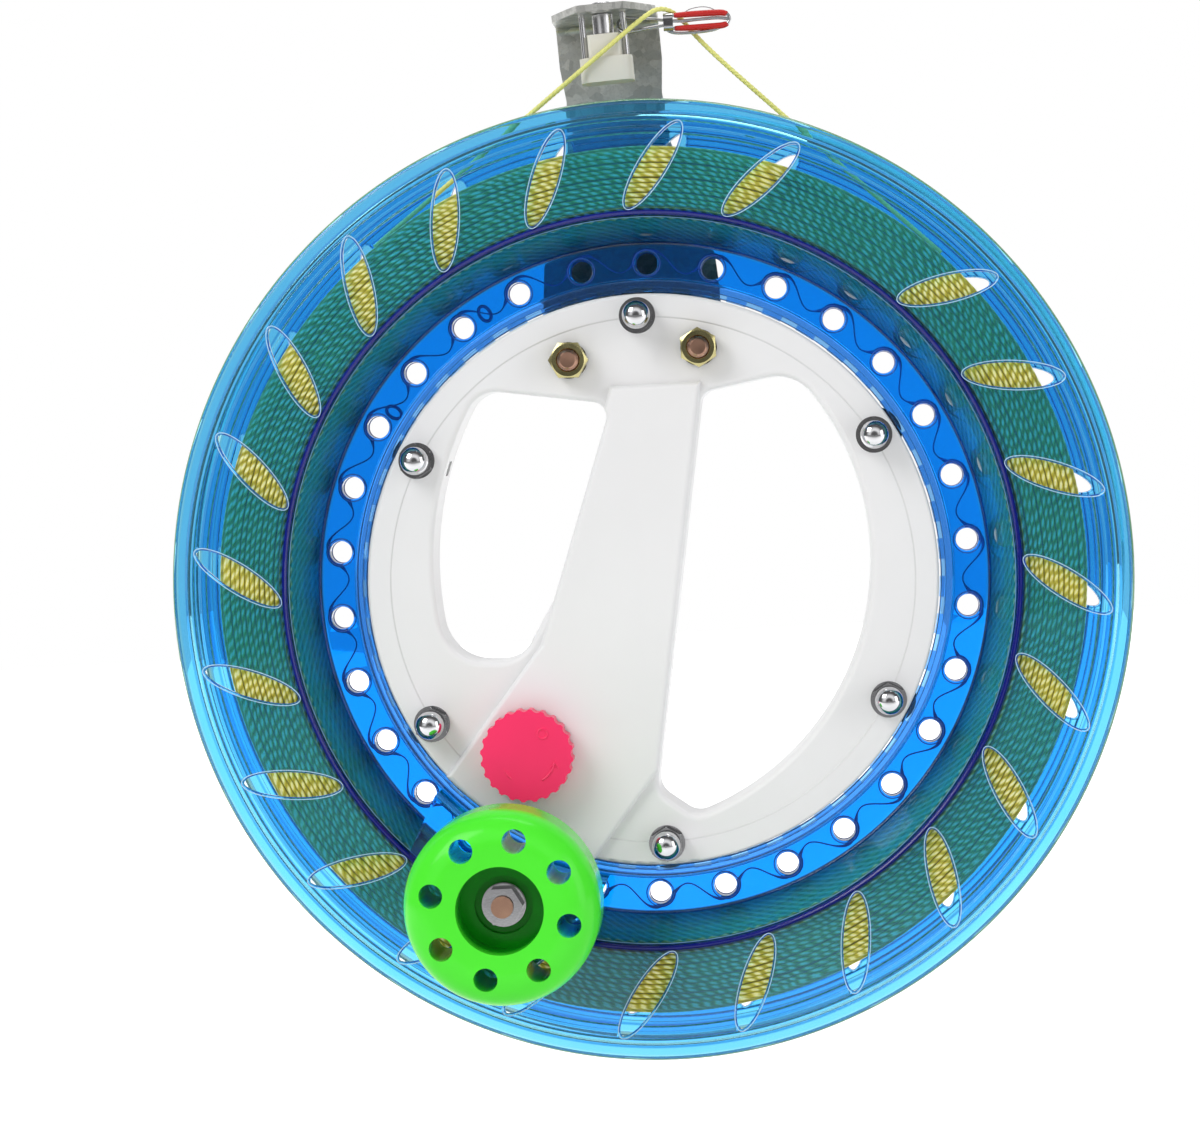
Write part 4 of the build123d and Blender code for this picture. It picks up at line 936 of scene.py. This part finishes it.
# what polished pieces mirror: soft windows round a dim middle in front, and the white backdrop behind
way = tree.nodes.new("ShaderNodeSeparateXYZ")
tree.links.new(tree.nodes.new("ShaderNodeTexCoord").outputs["Generated"], way.inputs[0])
_, back, high = way.outputs
window = work("MULTIPLY", ramp(back, -0.97, -0.88, 0, 1), ramp(back, -0.78, -0.45, 1, 0))
window = work("MULTIPLY", window, ramp(high, -0.25, 0.35, 0.45, 1))
dim = work("ADD", work("ADD", window, 0.13), ramp(back, 0.1, 0.6, 0, 0.8))
mirrored = ramp(rays["Is Glossy Ray"], 0, 1, 1, dim)
sky = tree.nodes["Background"]
sky.inputs["Color"].default_value = (1, 1, 1, 1)
tree.links.new(work("MULTIPLY", level, mirrored), sky.inputs["Strength"])


def area(name, place, target, size, power):
    data = bpy.data.lights.new(name, "AREA")
    data.shape = "RECTANGLE"
    data.size, data.size_y = size
    data.energy = power
    made = bpy.data.objects.new(name, data)
    made.location = place
    made.rotation_euler = (Vector(target) - Vector(place)).to_track_quat("-Z", "Y").to_euler()
    scene.collection.objects.link(made)


area("key", (-0.75, -0.75, 0.85), (0, 0, 0), (0.7, 0.7), 8.0)
area("fill", (0.95, -0.55, 0.15), (0, 0, 0), (0.5, 0.8), 2.5)
area("top", (0.1, 0.25, 1.1), (0, 0, 0), (0.8, 0.5), 4.5)

floor_mesh = bpy.data.meshes.new("floor")
floor_mesh.from_pydata([(-3, -3, -0.16), (3, -3, -0.16), (3, 3, -0.16), (-3, 3, -0.16)], [], [(0, 1, 2, 3)])
floor = bpy.data.objects.new("floor", floor_mesh)
scene.collection.objects.link(floor)
ground = Mat("pale_floor", Roughness=0.9)
rays = ground.tree.nodes.new("ShaderNodeLightPath").outputs
in_front = ground.span(ground.axes()[1], -0.8, -0.2, 0.13, 1)
shown = ground.math("MAXIMUM", ground.math("MULTIPLY", rays["Is Glossy Ray"], in_front),
                    ground.math("MAXIMUM", rays["Is Camera Ray"], rays["Is Transmission Ray"]))
# white far off; near the object a little less, so that its shadow shows
glow = ground.span(ground.node("ShaderNodeVectorMath", "Value", {"operation": "LENGTH"}, i0=ground.place()),
                   0.25, 0.8, 0.42, 1.0)
pale = ground.blend(ground.noise(6), (0.88, 0.88, 0.88), (0.91, 0.91, 0.91))
unlit = ground.math("MULTIPLY", rays["Is Glossy Ray"], ground.math("SUBTRACT", 1, in_front))
ground.set(Base_Color=ground.blend(unlit, pale, (0.1, 0.1, 0.1)), Specular_IOR_Level=0.0,
           Emission_Color=(1, 1, 1), Emission_Strength=ground.math("MULTIPLY", shown, glow))
floor_mesh.materials.append(ground.material)
